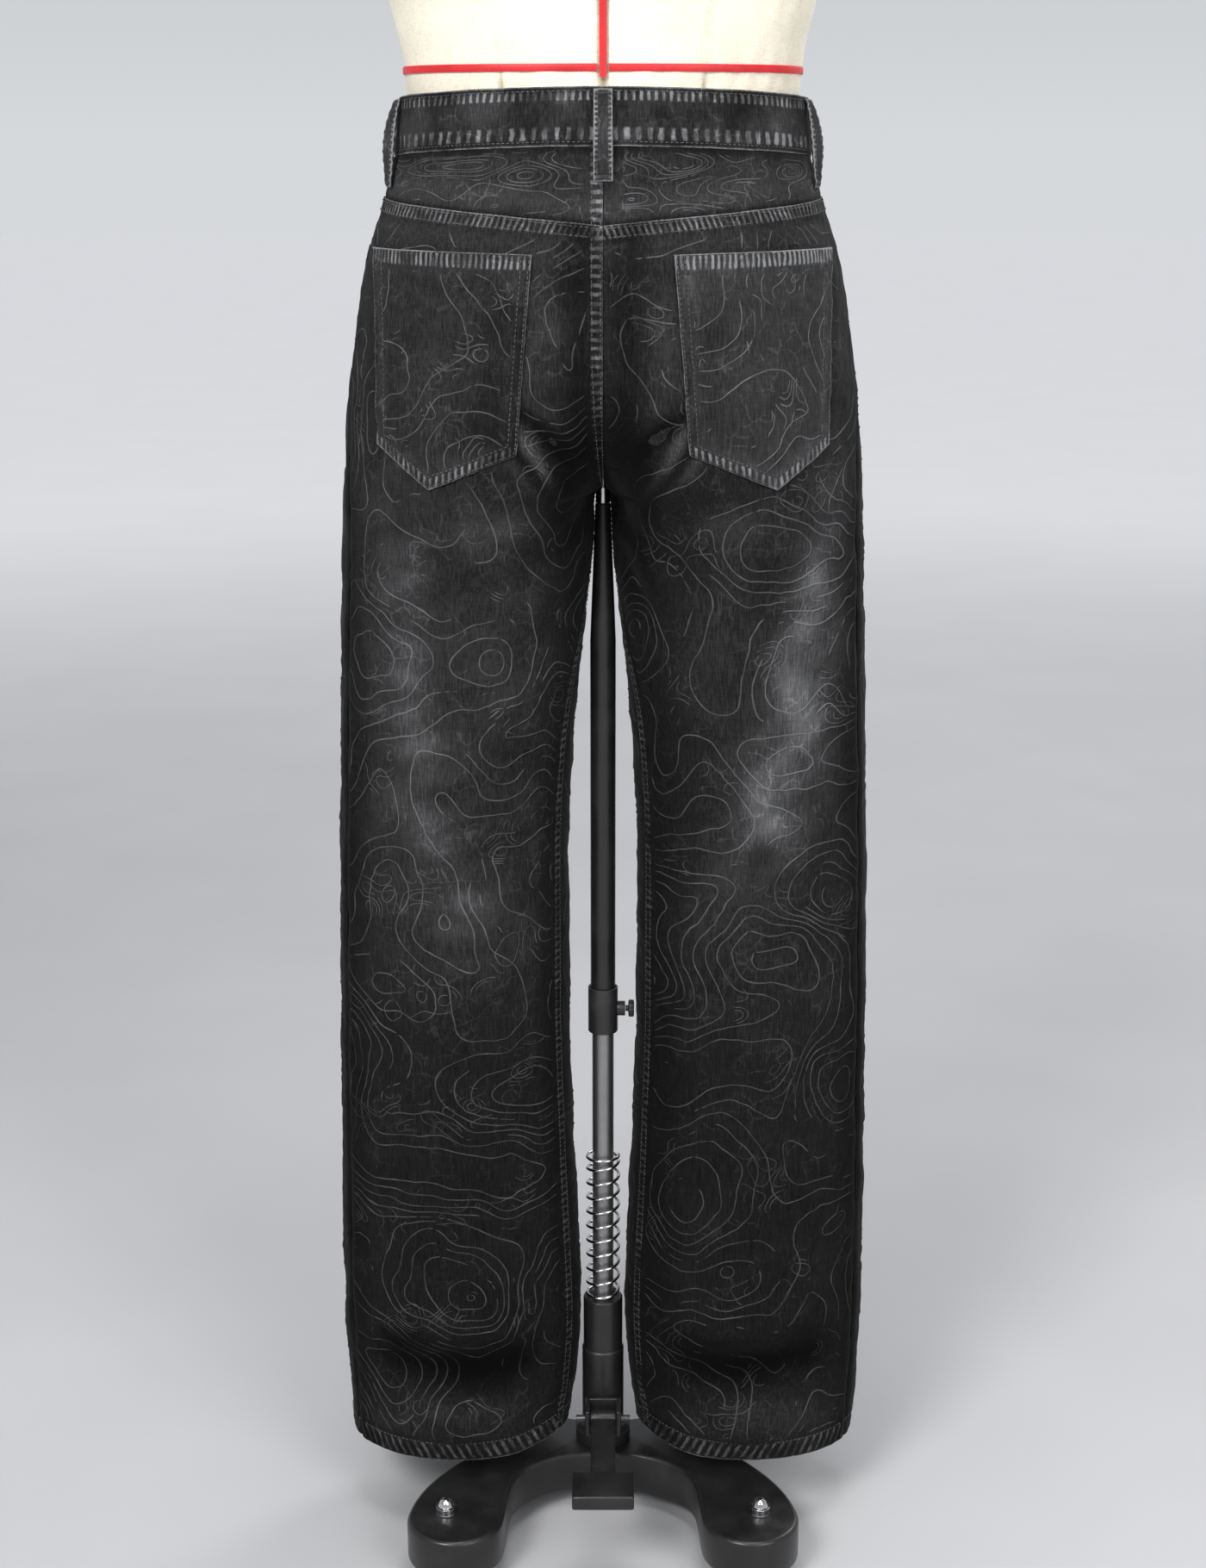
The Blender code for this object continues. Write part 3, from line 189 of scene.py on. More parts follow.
Fold = namedtuple("Fold", "side round_a height_a round_b height_b half_width depth")
FOLDS = (
    Fold(0, 0.000, 0.890, 0.120, 0.800, 0.016, -0.0060),
    Fold(0, 0.010, 0.872, 0.165, 0.850, 0.018, -0.0050),
    Fold(0, 0.045, 0.858, 0.150, 0.905, 0.014, 0.0040),
    Fold(-1, 0.020, 0.840, 0.105, 0.690, 0.020, -0.0055),
    Fold(1, 0.020, 0.835, 0.090, 0.710, 0.020, -0.0050),
    Fold(-1, 0.060, 0.800, 0.130, 0.560, 0.030, 0.0060),
    Fold(1, 0.070, 0.790, 0.135, 0.590, 0.030, 0.0060),
    Fold(-1, 0.160, 0.820, 0.175, 0.600, 0.022, -0.0050),
    Fold(1, 0.165, 0.840, 0.180, 0.640, 0.022, -0.0050),
    Fold(-1, 0.030, 0.600, 0.150, 0.540, 0.022, -0.0060),
    Fold(1, 0.040, 0.560, 0.170, 0.500, 0.022, -0.0060),
    Fold(-1, 0.070, 0.520, 0.120, 0.440, 0.028, 0.0045),
    Fold(1, 0.090, 0.480, 0.120, 0.400, 0.028, 0.0045),
    Fold(-1, 0.040, 0.420, 0.090, 0.230, 0.024, -0.0045),
    Fold(1, 0.150, 0.420, 0.120, 0.240, 0.024, -0.0045),
    Fold(-1, 0.035, 0.158, 0.165, 0.150, 0.018, -0.0110),
    Fold(1, 0.050, 0.150, 0.175, 0.160, 0.018, -0.0110),
    Fold(-1, 0.060, 0.105, 0.150, 0.102, 0.020, 0.0050),
    Fold(1, 0.060, 0.102, 0.150, 0.106, 0.020, 0.0050),
    Fold(0, 0.500, 0.880, 0.380, 0.830, 0.018, -0.0055),
    Fold(-1, 0.470, 0.850, 0.380, 0.700, 0.022, -0.0050),
    Fold(1, 0.480, 0.840, 0.400, 0.680, 0.022, -0.0050),
    Fold(-1, 0.280, 0.600, 0.420, 0.560, 0.024, -0.0060),
    Fold(1, 0.300, 0.570, 0.430, 0.540, 0.024, -0.0060),
    Fold(-1, 0.320, 0.480, 0.360, 0.260, 0.026, -0.0045),
    Fold(1, 0.400, 0.460, 0.350, 0.250, 0.026, -0.0045),
    Fold(-1, 0.280, 0.165, 0.430, 0.155, 0.020, -0.0090),
    Fold(1, 0.290, 0.150, 0.440, 0.165, 0.020, -0.0090),
)

Corner = namedtuple("Corner", "across height")
POCKET_INNER_TOP = Corner(0.049, 1.043)
POCKET_INNER_LOW = Corner(0.061, 0.906)
POCKET_POINT = Corner(0.124, 0.879)
POCKET_OUTER_LOW = Corner(0.162, 0.908)
POCKET_OUTER_TOP = Corner(0.1635, 1.045)

Bust = namedtuple("Bust", "height outer back front")
BUSTS = (
    Bust(0.985, 0.1765, -0.1185, 0.0970),
    Bust(1.030, 0.1675, -0.1145, 0.0990),
    Bust(1.060, 0.1590, -0.1110, 0.1000),
    Bust(1.090, 0.1500, -0.1040, 0.0998),
    Bust(1.115, 0.1455, -0.0980, 0.0988),
    Bust(1.145, 0.1425, -0.0935, 0.0975),
    Bust(1.168, 0.1440, -0.0915, 0.0970),
    Bust(1.218, 0.1537, -0.0940, 0.1000),
    Bust(1.290, 0.1660, -0.1040, 0.1090),
    Bust(1.370, 0.1780, -0.1150, 0.1200),
    Bust(1.430, 0.1850, -0.1150, 0.1120),
    Bust(1.475, 0.1840, -0.1020, 0.0930),
    Bust(1.505, 0.1620, -0.0880, 0.0750),
    Bust(1.530, 0.1150, -0.0760, 0.0620),
    Bust(1.548, 0.0760, -0.0660, 0.0580),
    Bust(1.575, 0.0580, -0.0560, 0.0560),
    Bust(1.610, 0.0550, -0.0530, 0.0560),
)
FORM_BOTTOM = 0.896
FORM_DART = 0.072

TAPE_HALF_WIDTH = 0.0026
TAPE_LIFT = 0.0015
TAPE_WALL = 0.00126
WAIST_TAPE_HEIGHT = 1.1685

# Pale marks, partly wash fades and partly painted highlights where light falls on the legs: side, distance
# from the middle, height, half width, half height, strength, slant
Mark = namedtuple("Mark", "side across height wide high strength lean")
BACK_WASH_AND_HIGHLIGHTS = (
    Mark(-1, 0.146, 0.780, 0.023, 0.125, 0.68, 0.00),
    Mark(-1, 0.136, 0.650, 0.036, 0.095, 0.52, 0.10),
    Mark(-1, 0.104, 0.545, 0.040, 0.055, 0.48, 0.10),
    Mark(-1, 0.075, 0.848, 0.036, 0.018, 0.50, 0.00),
    Mark(-1, 0.070, 0.760, 0.040, 0.100, 0.34, 0.00),
    Mark(1, 0.154, 0.775, 0.022, 0.115, 0.98, 0.10),
    Mark(1, 0.143, 0.695, 0.032, 0.085, 0.52, 0.20),
    Mark(1, 0.124, 0.625, 0.036, 0.075, 0.62, 0.30),
    Mark(1, 0.080, 0.850, 0.036, 0.018, 0.40, 0.00),
    Mark(0, 0.130, 0.420, 0.050, 0.060, 0.12, 0.00),
    Mark(0, 0.130, 0.112, 0.060, 0.016, 0.45, 0.00),
    Mark(1, 0.090, 0.760, 0.030, 0.070, 0.15, 0.00),
    Mark(0, 0.034, 0.985, 0.026, 0.055, 0.38, 0.00),
)
FRONT_WASH_AND_HIGHLIGHTS = (
    Mark(0, 0.115, 0.620, 0.040, 0.150, 0.75, 0.00),
    Mark(0, 0.110, 0.830, 0.045, 0.070, 0.40, 0.00),
    Mark(0, 0.130, 0.112, 0.060, 0.016, 0.45, 0.00),
)
# The slanting creases of the seat: their crests, raised and lit with a painted highlight, and their hollows,
# sunk and darkened with painted shade
CRESTS = (Mark(0, 0.047, 0.900, 0.006, 0.030, 1.00, 0.58), Mark(0, 0.062, 0.893, 0.005, 0.018, 0.45, 0.70))
HOLLOWS = (Mark(0, 0.036, 0.915, 0.009, 0.024, 1.10, 0.95), Mark(0, 0.054, 0.897, 0.004, 0.016, 0.45, 0.70))


def smoothstep(low, high, value):
    t = np.clip((value - low) / (high - low), 0.0, 1.0)
    return t * t * (3.0 - 2.0 * t)


def hump(value, middle, width):
    return np.exp(-(((value - middle) / width) ** 2))


def wave(turns):
    return np.sin(2 * math.pi * turns)


def read(rows, column, height):
    """A table's column at any heights, on a smooth curve through its rows that never overshoots them."""
    x = np.array([row.height for row in rows])
    y = np.array([getattr(row, column) for row in rows])
    step = np.diff(x)
    rise = np.diff(y) / step
    slope = np.concatenate([rise[:1], np.zeros(len(rows) - 2), rise[-1:]])
    same = rise[1:] * rise[:-1] > 0
    slope[1:-1][same] = 2 * rise[1:][same] * rise[:-1][same] / (rise[1:] + rise[:-1])[same]
    height = np.clip(height, x[0], x[-1])
    i = np.clip(np.searchsorted(x, height) - 1, 0, len(x) - 2)
    t = (height - x[i]) / step[i]
    near = y[i] * (1 + 2 * t) * (1 - t) ** 2 + slope[i] * step[i] * t * (1 - t) ** 2
    far = y[i + 1] * (3 - 2 * t) * t**2 - slope[i + 1] * step[i] * t**2 * (1 - t)
    return near + far


def oval(angle, half_width, back, front, square):
    """A point of a squared-off ellipse, with its own depth behind (back) and before (front) the middle."""
    across = np.sign(np.cos(angle)) * np.abs(np.cos(angle)) ** (2 / square)
    along = np.sign(np.sin(angle)) * np.abs(np.sin(angle)) ** (2 / square)
    depth = np.where(along < 0, -back, front)
    return half_width * across, depth * along


def wander(u, v, seed, short, long, count=12):
    """Smooth noise from -1 to 1 or so: waves with lengths between short and long, in seeded directions."""
    rng = np.random.default_rng(seed)
    total = np.zeros(np.broadcast(u, v).shape)
    for _ in range(count):
        turn = rng.uniform(0, 2 * math.pi)
        rate = 2 * math.pi / rng.uniform(short, long)
        shift = rng.uniform(0, 2 * math.pi)
        total += np.sin(rate * (u * math.cos(turn) + v * math.sin(turn)) + shift)
    return total * math.sqrt(2 / count)


def steps_along(ring):
    """The lengths of the steps between a flat ring's points."""
    return np.hypot(*np.diff(ring, axis=0).T)


def runs(points):
    """How far along a chain each of its points is."""
    return np.concatenate([[0.0], np.cumsum(np.linalg.norm(np.diff(points, axis=0), axis=1))])


def unit(vectors):
    return vectors / np.maximum(np.linalg.norm(vectors, axis=-1, keepdims=True), 1e-12)


def spread(share, length, cut):
    """Distances from a seam for shares from 0 to 1 of a half ring that was cut off at the seam."""
    whole = length + cut
    power = np.clip(0.5 * whole / max(cut, 1e-6), 1.0, 5.0)
    share = np.clip(share, 0.0, 1.0)
    return whole * share + cut * (1.0 - share) ** power - cut


class Cloth:
    """The outside of one half of the jeans, as points at many heights and places round it."""

    def __init__(self, side):
        self.side = side
        plain = np.arange(LATTICE_LOW, LATTICE_HIGH + 0.0001, LATTICE_STEP)
        crotch = np.arange(CROTCH_LOW, CROTCH_HIGH, CROTCH_STEP)
        self.heights = np.unique(np.round(np.concatenate([plain, crotch]), 5))
        self.places = np.linspace(0.0, 1.0, PLACES)
        outline, cut_behind, cut_before = self.outline()
        points = np.empty((len(self.heights), len(self.places), 3))
        self.back_length = np.empty(len(self.heights))
        self.front_length = np.empty(len(self.heights))
        self.rounds = np.empty(points.shape[:2])
        middle = outline.shape[1] // 2
        behind = self.places <= 0.5
        for i, ring in enumerate(outline):
            run = np.concatenate([[0.0], np.cumsum(steps_along(ring))])
            self.back_length[i] = run[middle]
            self.front_length[i] = run[-1] - run[middle]
            from_back = spread(2 * self.places, self.back_length[i], steps_along(cut_behind[i]).sum())
            from_front = spread(2 - 2 * self.places, self.front_length[i], steps_along(cut_before[i]).sum())
            wanted = np.where(behind, from_back, run[-1] - from_front)
            points[i, :, 0] = np.interp(wanted, run, ring[:, 0])
            points[i, :, 1] = np.interp(wanted, run, ring[:, 1])
            points[i, :, 2] = self.heights[i]
            self.rounds[i] = wanted
        self.points = points
        self.find_normals()
        self.points = self.points + self.normals * self.relief()[..., None]
        self.close_seams()
        self.find_normals()

    def close_seams(self):
        """Draws the seams behind and before the crotch back to the middle, where folds moved them off it."""
        above = self.heights[:, None] > CROTCH_HEIGHT
        for seam, away in ((0, self.rounds), (-1, self.rounds[:, -1:] - self.rounds)):
            shift = np.where(above, self.points[:, [seam], 0], 0.0)
            self.points[..., 0] -= shift * hump(away, 0.0, CREASE_WIDTH)
        self.points[..., 0] = np.maximum(self.points[..., 0], 0.0)

    def outline(self):
        """Rings of x and y from the inseam or centre back to the front, and what is cut off at both ends."""
        height = self.heights[:, None]
        u = self.places[None, :]
        girth = {name: read(GIRTHS, name, height) for name in Girth._fields[1:]}
        outseam = OUTSEAM_HIGH + (OUTSEAM_LOW - OUTSEAM_HIGH) * smoothstep(1.03, 0.80, height)
        inseam = INSEAM_TURN * smoothstep(0.86, 0.66, height)
        behind = np.linspace(-math.pi, 0.0, 721)[None, :]
        across = np.maximum.accumulate(self.ring(girth, height, behind)[0], axis=1)
        cut_off = np.array([[math.pi + np.interp(0.0, row, behind[0])] for row in across])
        turn = np.where(girth["inner"] < 0.0, cut_off, inseam)
        start, end = turn - math.pi, math.pi - turn
        end = np.where(girth["inner"] < 0.0, end, math.pi + turn)
        behind, before = start + (outseam - start) * 2 * u, outseam + (end - outseam) * (2 * u - 1)
        angle = np.where(u < 0.5, behind, before)
        off = np.where(girth["inner"] < 0.0, cut_off, 0.0) * np.linspace(0.0, 1.0, 33)[None, :]
        rings = [self.ring(girth, height, turns) for turns in (angle, off - math.pi, math.pi - off)]
        return [np.stack(ring, axis=-1) for ring in rings]

    def ring(self, girth, height, angle):
        """Points of the oval, with its inner side moved out to the leg's inner edge."""
        square = LEG_SQUARE + (TORSO_SQUARE - LEG_SQUARE) * smoothstep(0.87, 1.0, height)
        half = (girth["outer"] - girth["plain"]) / 2
        x, y = oval(angle, half, girth["back"], girth["front"], square)
        x = x + girth["plain"] + half
        share = np.clip((x - girth["plain"]) / (ARCH_REACH - girth["plain"]), 0.0, 1.0)
        return x + (girth["inner"] - girth["plain"]) * (1.0 - share) ** 2, y

    def relief(self):
        """How far folds and the turned hem lift each point."""
        round_, height = np.broadcast_arrays(self.rounds, self.heights[:, None])
        lift = np.zeros(round_.shape)
        for fold in FOLDS:
            if fold.side in (0, self.side):
                lift = lift + fold_lift(fold, round_, height)
        place = self.places[None, :]
        from_seam = np.minimum(place, 1.0 - place)
        from_outseam = np.abs(place - 0.5)
        free = smoothstep(0.01, 0.09, from_seam) * smoothstep(0.0, 0.06, from_outseam)
        flat_seat = smoothstep(0.880, 0.815, height)
        hem = hem_height(place) + HEM_FOLD
        band = HEM_PROUD * smoothstep(hem + 0.002, hem - 0.001, height)
        crease = CREASE_DEPTH * hump(round_, 0.0, CREASE_WIDTH)
        crease = crease * smoothstep(0.885, 0.915, height) * smoothstep(1.040, 0.980, height)
        return lift * free * flat_seat + band - crease

    def find_normals(self):
        along = np.gradient(self.points, self.places, axis=1)
        up = np.gradient(self.points, self.heights, axis=0)
        self.normals = unit(np.cross(along, up))

    def length(self, height, part):
        return np.interp(height, self.heights, self.back_length if part == "back" else self.front_length)

    def place_behind(self, across, height):
        """The places on the back panel at these distances from the middle and heights."""
        half = len(self.places) // 2 + 1
        found = []
        for x, z in zip(np.ravel(across), np.ravel(height)):
            row = self.points[int(np.argmin(np.abs(self.heights - z))), :half, 0]
            found.append(np.interp(x, np.maximum.accumulate(row), self.places[:half]))
        return np.reshape(found, np.shape(across))

    def sample(self, grids, place, height):
        """Values of lattice grids at places and heights."""
        place, height = np.broadcast_arrays(np.asarray(place, float), np.asarray(height, float))
        i = np.clip(np.searchsorted(self.heights, height) - 1, 0, len(self.heights) - 2)
        j = np.clip(np.searchsorted(self.places, place) - 1, 0, len(self.places) - 2)
        s = (height - self.heights[i]) / (self.heights[i + 1] - self.heights[i])
        t = (place - self.places[j]) / (self.places[j + 1] - self.places[j])
        found = []
        for grid in grids:
            a, b = (s[..., None], t[..., None]) if grid.ndim == 3 else (s, t)
            low = grid[i, j] * (1 - b) + grid[i, j + 1] * b
            high = grid[i + 1, j] * (1 - b) + grid[i + 1, j + 1] * b
            found.append(low * (1 - a) + high * a)
        return found

    def at(self, place, height, out=0.0):
        """The point of the surface at a place from 0 to 1 and a height, moved out by a distance."""
        points, normals = self.sample([self.points, self.normals], place, height)
        found = points + normals * np.broadcast_to(out, points.shape[:-1])[..., None]
        found[..., 0] = np.maximum(found[..., 0], SEAM_GAP * 0.6)
        return found * np.array([self.side, 1.0, 1.0])

    def around(self, place, height):
        return self.sample([self.rounds], place, height)[0]


def fold_lift(fold, round_, height):
    """How far a fold lifts points at distances round the cloth and heights."""
    run = np.array([fold.round_b - fold.round_a, fold.height_b - fold.height_a])
    length = np.hypot(*run)
    dr, dh = round_ - fold.round_a, height - fold.height_a
    t = np.clip((dr * run[0] + dh * run[1]) / length**2, 0.0, 1.0)
    away = np.hypot(dr - t * run[0], dh - t * run[1])
    ends = 0.25 + 0.75 * np.sin(math.pi * np.clip(t, 0.04, 0.96))
    return fold.depth * ends * hump(away, 0.0, fold.half_width)


def hem_height(place):
    """The height of the legs' lower edge, a little higher inside."""
    return HEM_HEIGHT + HEM_RISE_INSIDE * smoothstep(0.35, 0.5, np.abs(np.asarray(place) - 0.5))


def band_bottom(place):
    return BAND_BOTTOM_BACK + (BAND_BOTTOM_FRONT - BAND_BOTTOM_BACK) * smoothstep(0.0, 1.0, place)


def band_top(place):
    return BAND_TOP_BACK + (BAND_TOP_FRONT - BAND_TOP_BACK) * smoothstep(0.0, 1.0, place)


def yoke_seam(place):
    rise = np.clip(np.asarray(place) / 0.5, 0.0, 1.0)
    return YOKE_HEIGHT_BACK + (YOKE_HEIGHT_SIDE - YOKE_HEIGHT_BACK) * rise**0.9


def scoop_line(place):
    """The front panel's top: the waistband's seam, then the curved edge of the front pocket's opening."""
    arc_share = np.clip((np.asarray(place) - 0.5) / SCOOP_SHARE, 0.0, 1.0)
    dip = SCOOP_DEPTH * (1.0 - arc_share**2.2) ** (1 / 2.2)
    return band_bottom(place) - dip - 2 * SEAM_GAP


CLOTHS = {-1: Cloth(-1), 1: Cloth(1)}
SIDES = {"left": -1, "right": 1}


# Materials


class Shader:
    """A material under construction. Values are sockets or plain numbers."""

    def __init__(self, name):
        self.material = bpy.data.materials.new(name)
        self.material.use_nodes = True
        self.tree = self.material.node_tree
        self.base = self.tree.nodes["Principled BSDF"]

    def node(self, kind, **properties):
        made = self.tree.nodes.new(kind)
        for name, value in properties.items():
            setattr(made, name, value)
        return made

    def join(self, value, socket):
        if isinstance(value, bpy.types.NodeSocket):
            self.tree.links.new(value, socket)
        else:
            socket.default_value = value

    def place(self, scale=(1.0, 1.0, 1.0)):
        """Positions on the object, scaled."""
        coordinates = self.node("ShaderNodeTexCoord")
        mapping = self.node("ShaderNodeMapping")
        mapping.inputs["Scale"].default_value = scale
        self.tree.links.new(coordinates.outputs["Object"], mapping.inputs["Vector"])
        return mapping.outputs["Vector"]

    def noise(self, scale, detail=2.0, roughness=0.5, stretch=(1.0, 1.0, 1.0), output="Fac"):
        """Noise by the position on the object."""
        made = self.node("ShaderNodeTexNoise")
        self.join(self.place(stretch), made.inputs["Vector"])
        for name, number in (("Scale", scale), ("Detail", detail), ("Roughness", roughness)):
            made.inputs[name].default_value = number
        return made.outputs[output]

    def math(self, operation, a, b=0.0):
        made = self.node("ShaderNodeMath", operation=operation)
        self.join(a, made.inputs[0])
        self.join(b, made.inputs[1])
        return made.outputs[0]

    def total(self, *terms):
        """The sum of value and weight pairs."""
        result = 0.0
        for value, weight in terms:
            part = self.math("MULTIPLY", value, weight)
            result = self.math("ADD", part, result)
        return result

    def step(self, value, low, high, to_low=0.0, to_high=1.0):
        made = self.node("ShaderNodeMapRange", interpolation_type="SMOOTHSTEP")
        self.join(value, made.inputs["Value"])
        for name, number in (("From Min", low), ("From Max", high), ("To Min", to_low), ("To Max", to_high)):
            made.inputs[name].default_value = number
        return made.outputs["Result"]

    def number(self, name):
        return self.node("ShaderNodeAttribute", attribute_name=name).outputs["Fac"]

    def ramp(self, value, *stops):
        """Colours at spots from 0 to 1. A plain number as a colour is a grey."""
        made = self.node("ShaderNodeValToRGB")
        self.join(value, made.inputs["Fac"])
        elements = made.color_ramp.elements
        while len(elements) < len(stops):
            elements.new(0.5)
        for element, (spot, colour) in zip(elements, stops):
            element.position = spot
            element.color = (*(grey(colour) if isinstance(colour, float) else colour), 1.0)
        return made.outputs["Color"]

    def bump(self, height, distance, strength):
        made = self.node("ShaderNodeBump")
        self.join(height, made.inputs["Height"])
        made.inputs["Distance"].default_value = distance
        made.inputs["Strength"].default_value = strength
        self.tree.links.new(made.outputs["Normal"], self.base.inputs["Normal"])

    def set(self, **values):
        names = {"colour": "Base Color", "roughness": "Roughness", "metallic": "Metallic"}
        names |= {"sheen": "Sheen Weight", "specular": "Specular IOR Level"}
        for name, value in values.items():
            self.join(value, self.base.inputs[names[name]])
        return self.material


def grey(value, warm=0.0):
    """A neutral colour, or a warm one."""
    return (value * (1.0 + warm), value, value * (1.0 - 0.6 * warm) * 1.02)


def denim_material():
    """Washed black denim: slubs, fine crackle, pale worn ridges across the seams, worn edges, pale marks that
    are partly wash fades and partly painted highlights, and painted shade.
    """
    make = Shader("washed_black_denim")
    slub = make.noise(1.0, stretch=(900, 900, 70))
    cross = make.noise(1.0, stretch=(90, 90, 900))
    grain = make.noise(1300.0, 1.0)
    cloud = make.noise(22.0, 4.0, 0.6)
    wash_and_highlight, painted_shade = make.number("wash_and_highlight"), make.number("painted_shade")
    rungs = denim_rungs(make)
    worn = make.step(make.number("edge"), 0.0016, 0.0004)
    worn = make.math("MULTIPLY", worn, make.step(grain, 0.30, 0.60, 0.45, 1.0))
    weave = (slub, 0.40), (cross, 0.14), (grain, 0.16), (cloud, 0.22), (denim_crackle(make), 0.13)
    # The tone adds pale marks, partly wash fades and partly painted highlights, and takes away painted shade
    # in creases, hollows and at the legs' edges.
    tone = make.total(*weave, (wash_and_highlight, 0.34), (painted_shade, -0.40), (rungs, 0.40), (worn, 0.55))
    stops = (0.06, 0.0012), (0.28, 0.0042), (0.45, 0.0112), (0.65, 0.0330), (0.85, 0.0900), (1.00, 0.1900)
    make.bump(make.total((slub, 0.45), (cross, 0.45), (grain, 0.30)), 0.00045, 0.9)
    return make.set(colour=make.ramp(tone, *stops), roughness=0.93, specular=0.06, sheen=0.03)


def denim_crackle(make):
    """Fine bent cracks in some stretches of the cloth."""
    bent = make.node("ShaderNodeVectorMath", operation="MULTIPLY_ADD")
    make.join(make.noise(70.0, 3.0, output="Color"), bent.inputs[0])
    bent.inputs[1].default_value = (0.012, 0.012, 0.012)
    make.join(make.place(), bent.inputs[2])
    cracks = make.node("ShaderNodeTexVoronoi", feature="DISTANCE_TO_EDGE")
    make.join(bent.outputs["Vector"], cracks.inputs["Vector"])
    cracks.inputs["Scale"].default_value = 62.0
    crack = make.step(cracks.outputs["Distance"], 0.0, 0.055, 1.0, 0.0)
    return make.math("MULTIPLY", crack, make.step(make.noise(45.0), 0.47, 0.60))


def denim_rungs(make):
    """The pale rungs across the two bands of sewing that a point may lie on."""
    rungs = 0.0
    for name in ("a", "b"):
        turn = make.math("MULTIPLY", make.number("rung_" + name), 2 * math.pi)
        turn = make.math("ADD", turn, make.math("MULTIPLY", make.noise(160.0, 1.0), 2.6))
        pulse = make.step(make.math("SINE", turn), -0.35, 0.75)
        band = make.number("band_" + name)
        inside = make.math("MULTIPLY", make.step(band, 0.02, 0.16), make.step(band, 0.98, 0.80))
        rungs = make.math("MAXIMUM", rungs, make.math("MULTIPLY", pulse, inside))
    return make.math("MULTIPLY", rungs, make.step(make.noise(75.0), 0.30, 0.62, 0.35, 1.0))


def line_material():
    """The raised lines: the same denim, rubbed paler along their tops."""
    make = Shader("rubbed_ridge")
    rubbed = make.noise(55.0, 3.0)
    grain = make.noise(900.0, 1.0)
    wash_and_highlight, painted_shade = make.number("wash_and_highlight"), make.number("painted_shade")
    # The tone carries the cloth's pale marks, partly painted highlights, and its painted shade.
    tone = make.total((rubbed, 0.55), (grain, 0.25), (wash_and_highlight, 0.30), (painted_shade, -0.30))
    colour = make.ramp(tone, (0.05, 0.004), (0.30, 0.030), (0.48, 0.070), (0.80, 0.165))
    make.bump(grain, 0.0002, 0.5)
    return make.set(colour=colour, roughness=0.9, specular=0.2)


def thread_material():
    make = Shader("charcoal_thread")
    twist = make.noise(2200.0, 1.0)
    tone = make.total((twist, 0.4), (make.noise(60.0), 0.6))
    colour = make.ramp(tone, (0.30, 0.030), (0.55, 0.075), (0.75, 0.150))
    make.bump(twist, 0.0001, 0.6)
    return make.set(colour=colour, roughness=0.75, specular=0.3)


def canvas_material():
    """The form's cream cover: a fine plain weave with a faint tone drift."""
    make = Shader("cream_canvas")
    warp = make.noise(1.0, 1.0, stretch=(1500, 1500, 160))
    weft = make.noise(1.0, 1.0, stretch=(170, 170, 1500))
    # The seams pressed into the cover are darkened with painted shade.
    tone = make.total((warp, 0.3), (weft, 0.3), (make.noise(9.0, 3.0), 0.4), (make.number("painted_shade"), -0.5))
    stops = (0.10, (0.40, 0.33, 0.23)), (0.45, (0.78, 0.72, 0.58)), (0.62, (0.87, 0.82, 0.70))
    make.bump(make.total((warp, 0.5), (weft, 0.5)), 0.0002, 0.6)
    return make.set(colour=make.ramp(tone, *stops), roughness=0.85, specular=0.25, sheen=0.1)


def tape_material():
    make = Shader("red_tape")
    ribs = make.noise(1.0, 1.0, stretch=(300, 300, 2600))
    tone = make.total((ribs, 0.5), (make.noise(40.0), 0.5))
    colour = make.ramp(tone, (0.3, (0.42, 0.010, 0.014)), (0.6, (0.66, 0.020, 0.026)))
    make.bump(ribs, 0.0001, 0.5)
    return make.set(colour=colour, roughness=0.45, specular=0.4)


def paint_material(name, value, roughness, coarse):
    """Black paint or moulded plastic with a fine orange peel and rubbed patches."""
    make = Shader(name)
    rub = make.noise(35.0, 4.0, 0.6)
    colour = make.ramp(rub, (0.35, value), (0.60, value * 1.5), (0.80, value * 2.6))
    make.bump(make.noise(coarse), 0.0002, 0.35)
    gloss = make.step(rub, 0.30, 0.75, roughness - 0.06, roughness + 0.10)
    return make.set(colour=colour, roughness=gloss, specular=0.5)


def metal_material(name, value, roughness, stretch):
    """Bare or plated metal with fine drawn lines and a little tarnish."""
    make = Shader(name)
    lines = make.noise(1.0, stretch=stretch)
    tone = make.total((lines, 0.35), (make.noise(25.0, 3.0), 0.65))
    colour = make.ramp(tone, (0.35, grey(value * 0.72, 0.02)), (0.60, value))
    make.bump(lines, 0.00005, 0.4)
    gloss = make.step(tone, 0.35, 0.70, roughness + 0.08, roughness)
    return make.set(colour=colour, roughness=gloss, metallic=1.0)


Look = namedtuple("Look", "material slot")
CLOTH = Look(denim_material(), "denim")
RIDGE = Look(line_material(), "denim")
THREAD = Look(thread_material(), "denim")
CANVAS = Look(canvas_material(), "form_cloth")
TAPE = Look(tape_material(), "form_cloth")
PLASTIC = Look(paint_material("black_plastic", 0.011, 0.42, 900.0), "black_plastic")
PAINT = Look(paint_material("black_enamel", 0.009, 0.34, 260.0), "black_paint")
CASTING = Look(PAINT.material, "cast_base")
CHROME = Look(metal_material("bright_chrome", 0.62, 0.12, (60, 60, 1500)), "bright_steel")
STEEL = Look(metal_material("drawn_tube", 0.36, 0.38, (1400, 1400, 25)), "bright_steel")
DARK = Look(metal_material("dark_metal", 0.10, 0.32, (400, 400, 400)), "dark_metal")


# Meshes


def add_object(name, data, look):
    obj = bpy.data.objects.new(name, data)
    bpy.context.scene.collection.objects.link(obj)
    data.materials.append(look.material)
    return obj


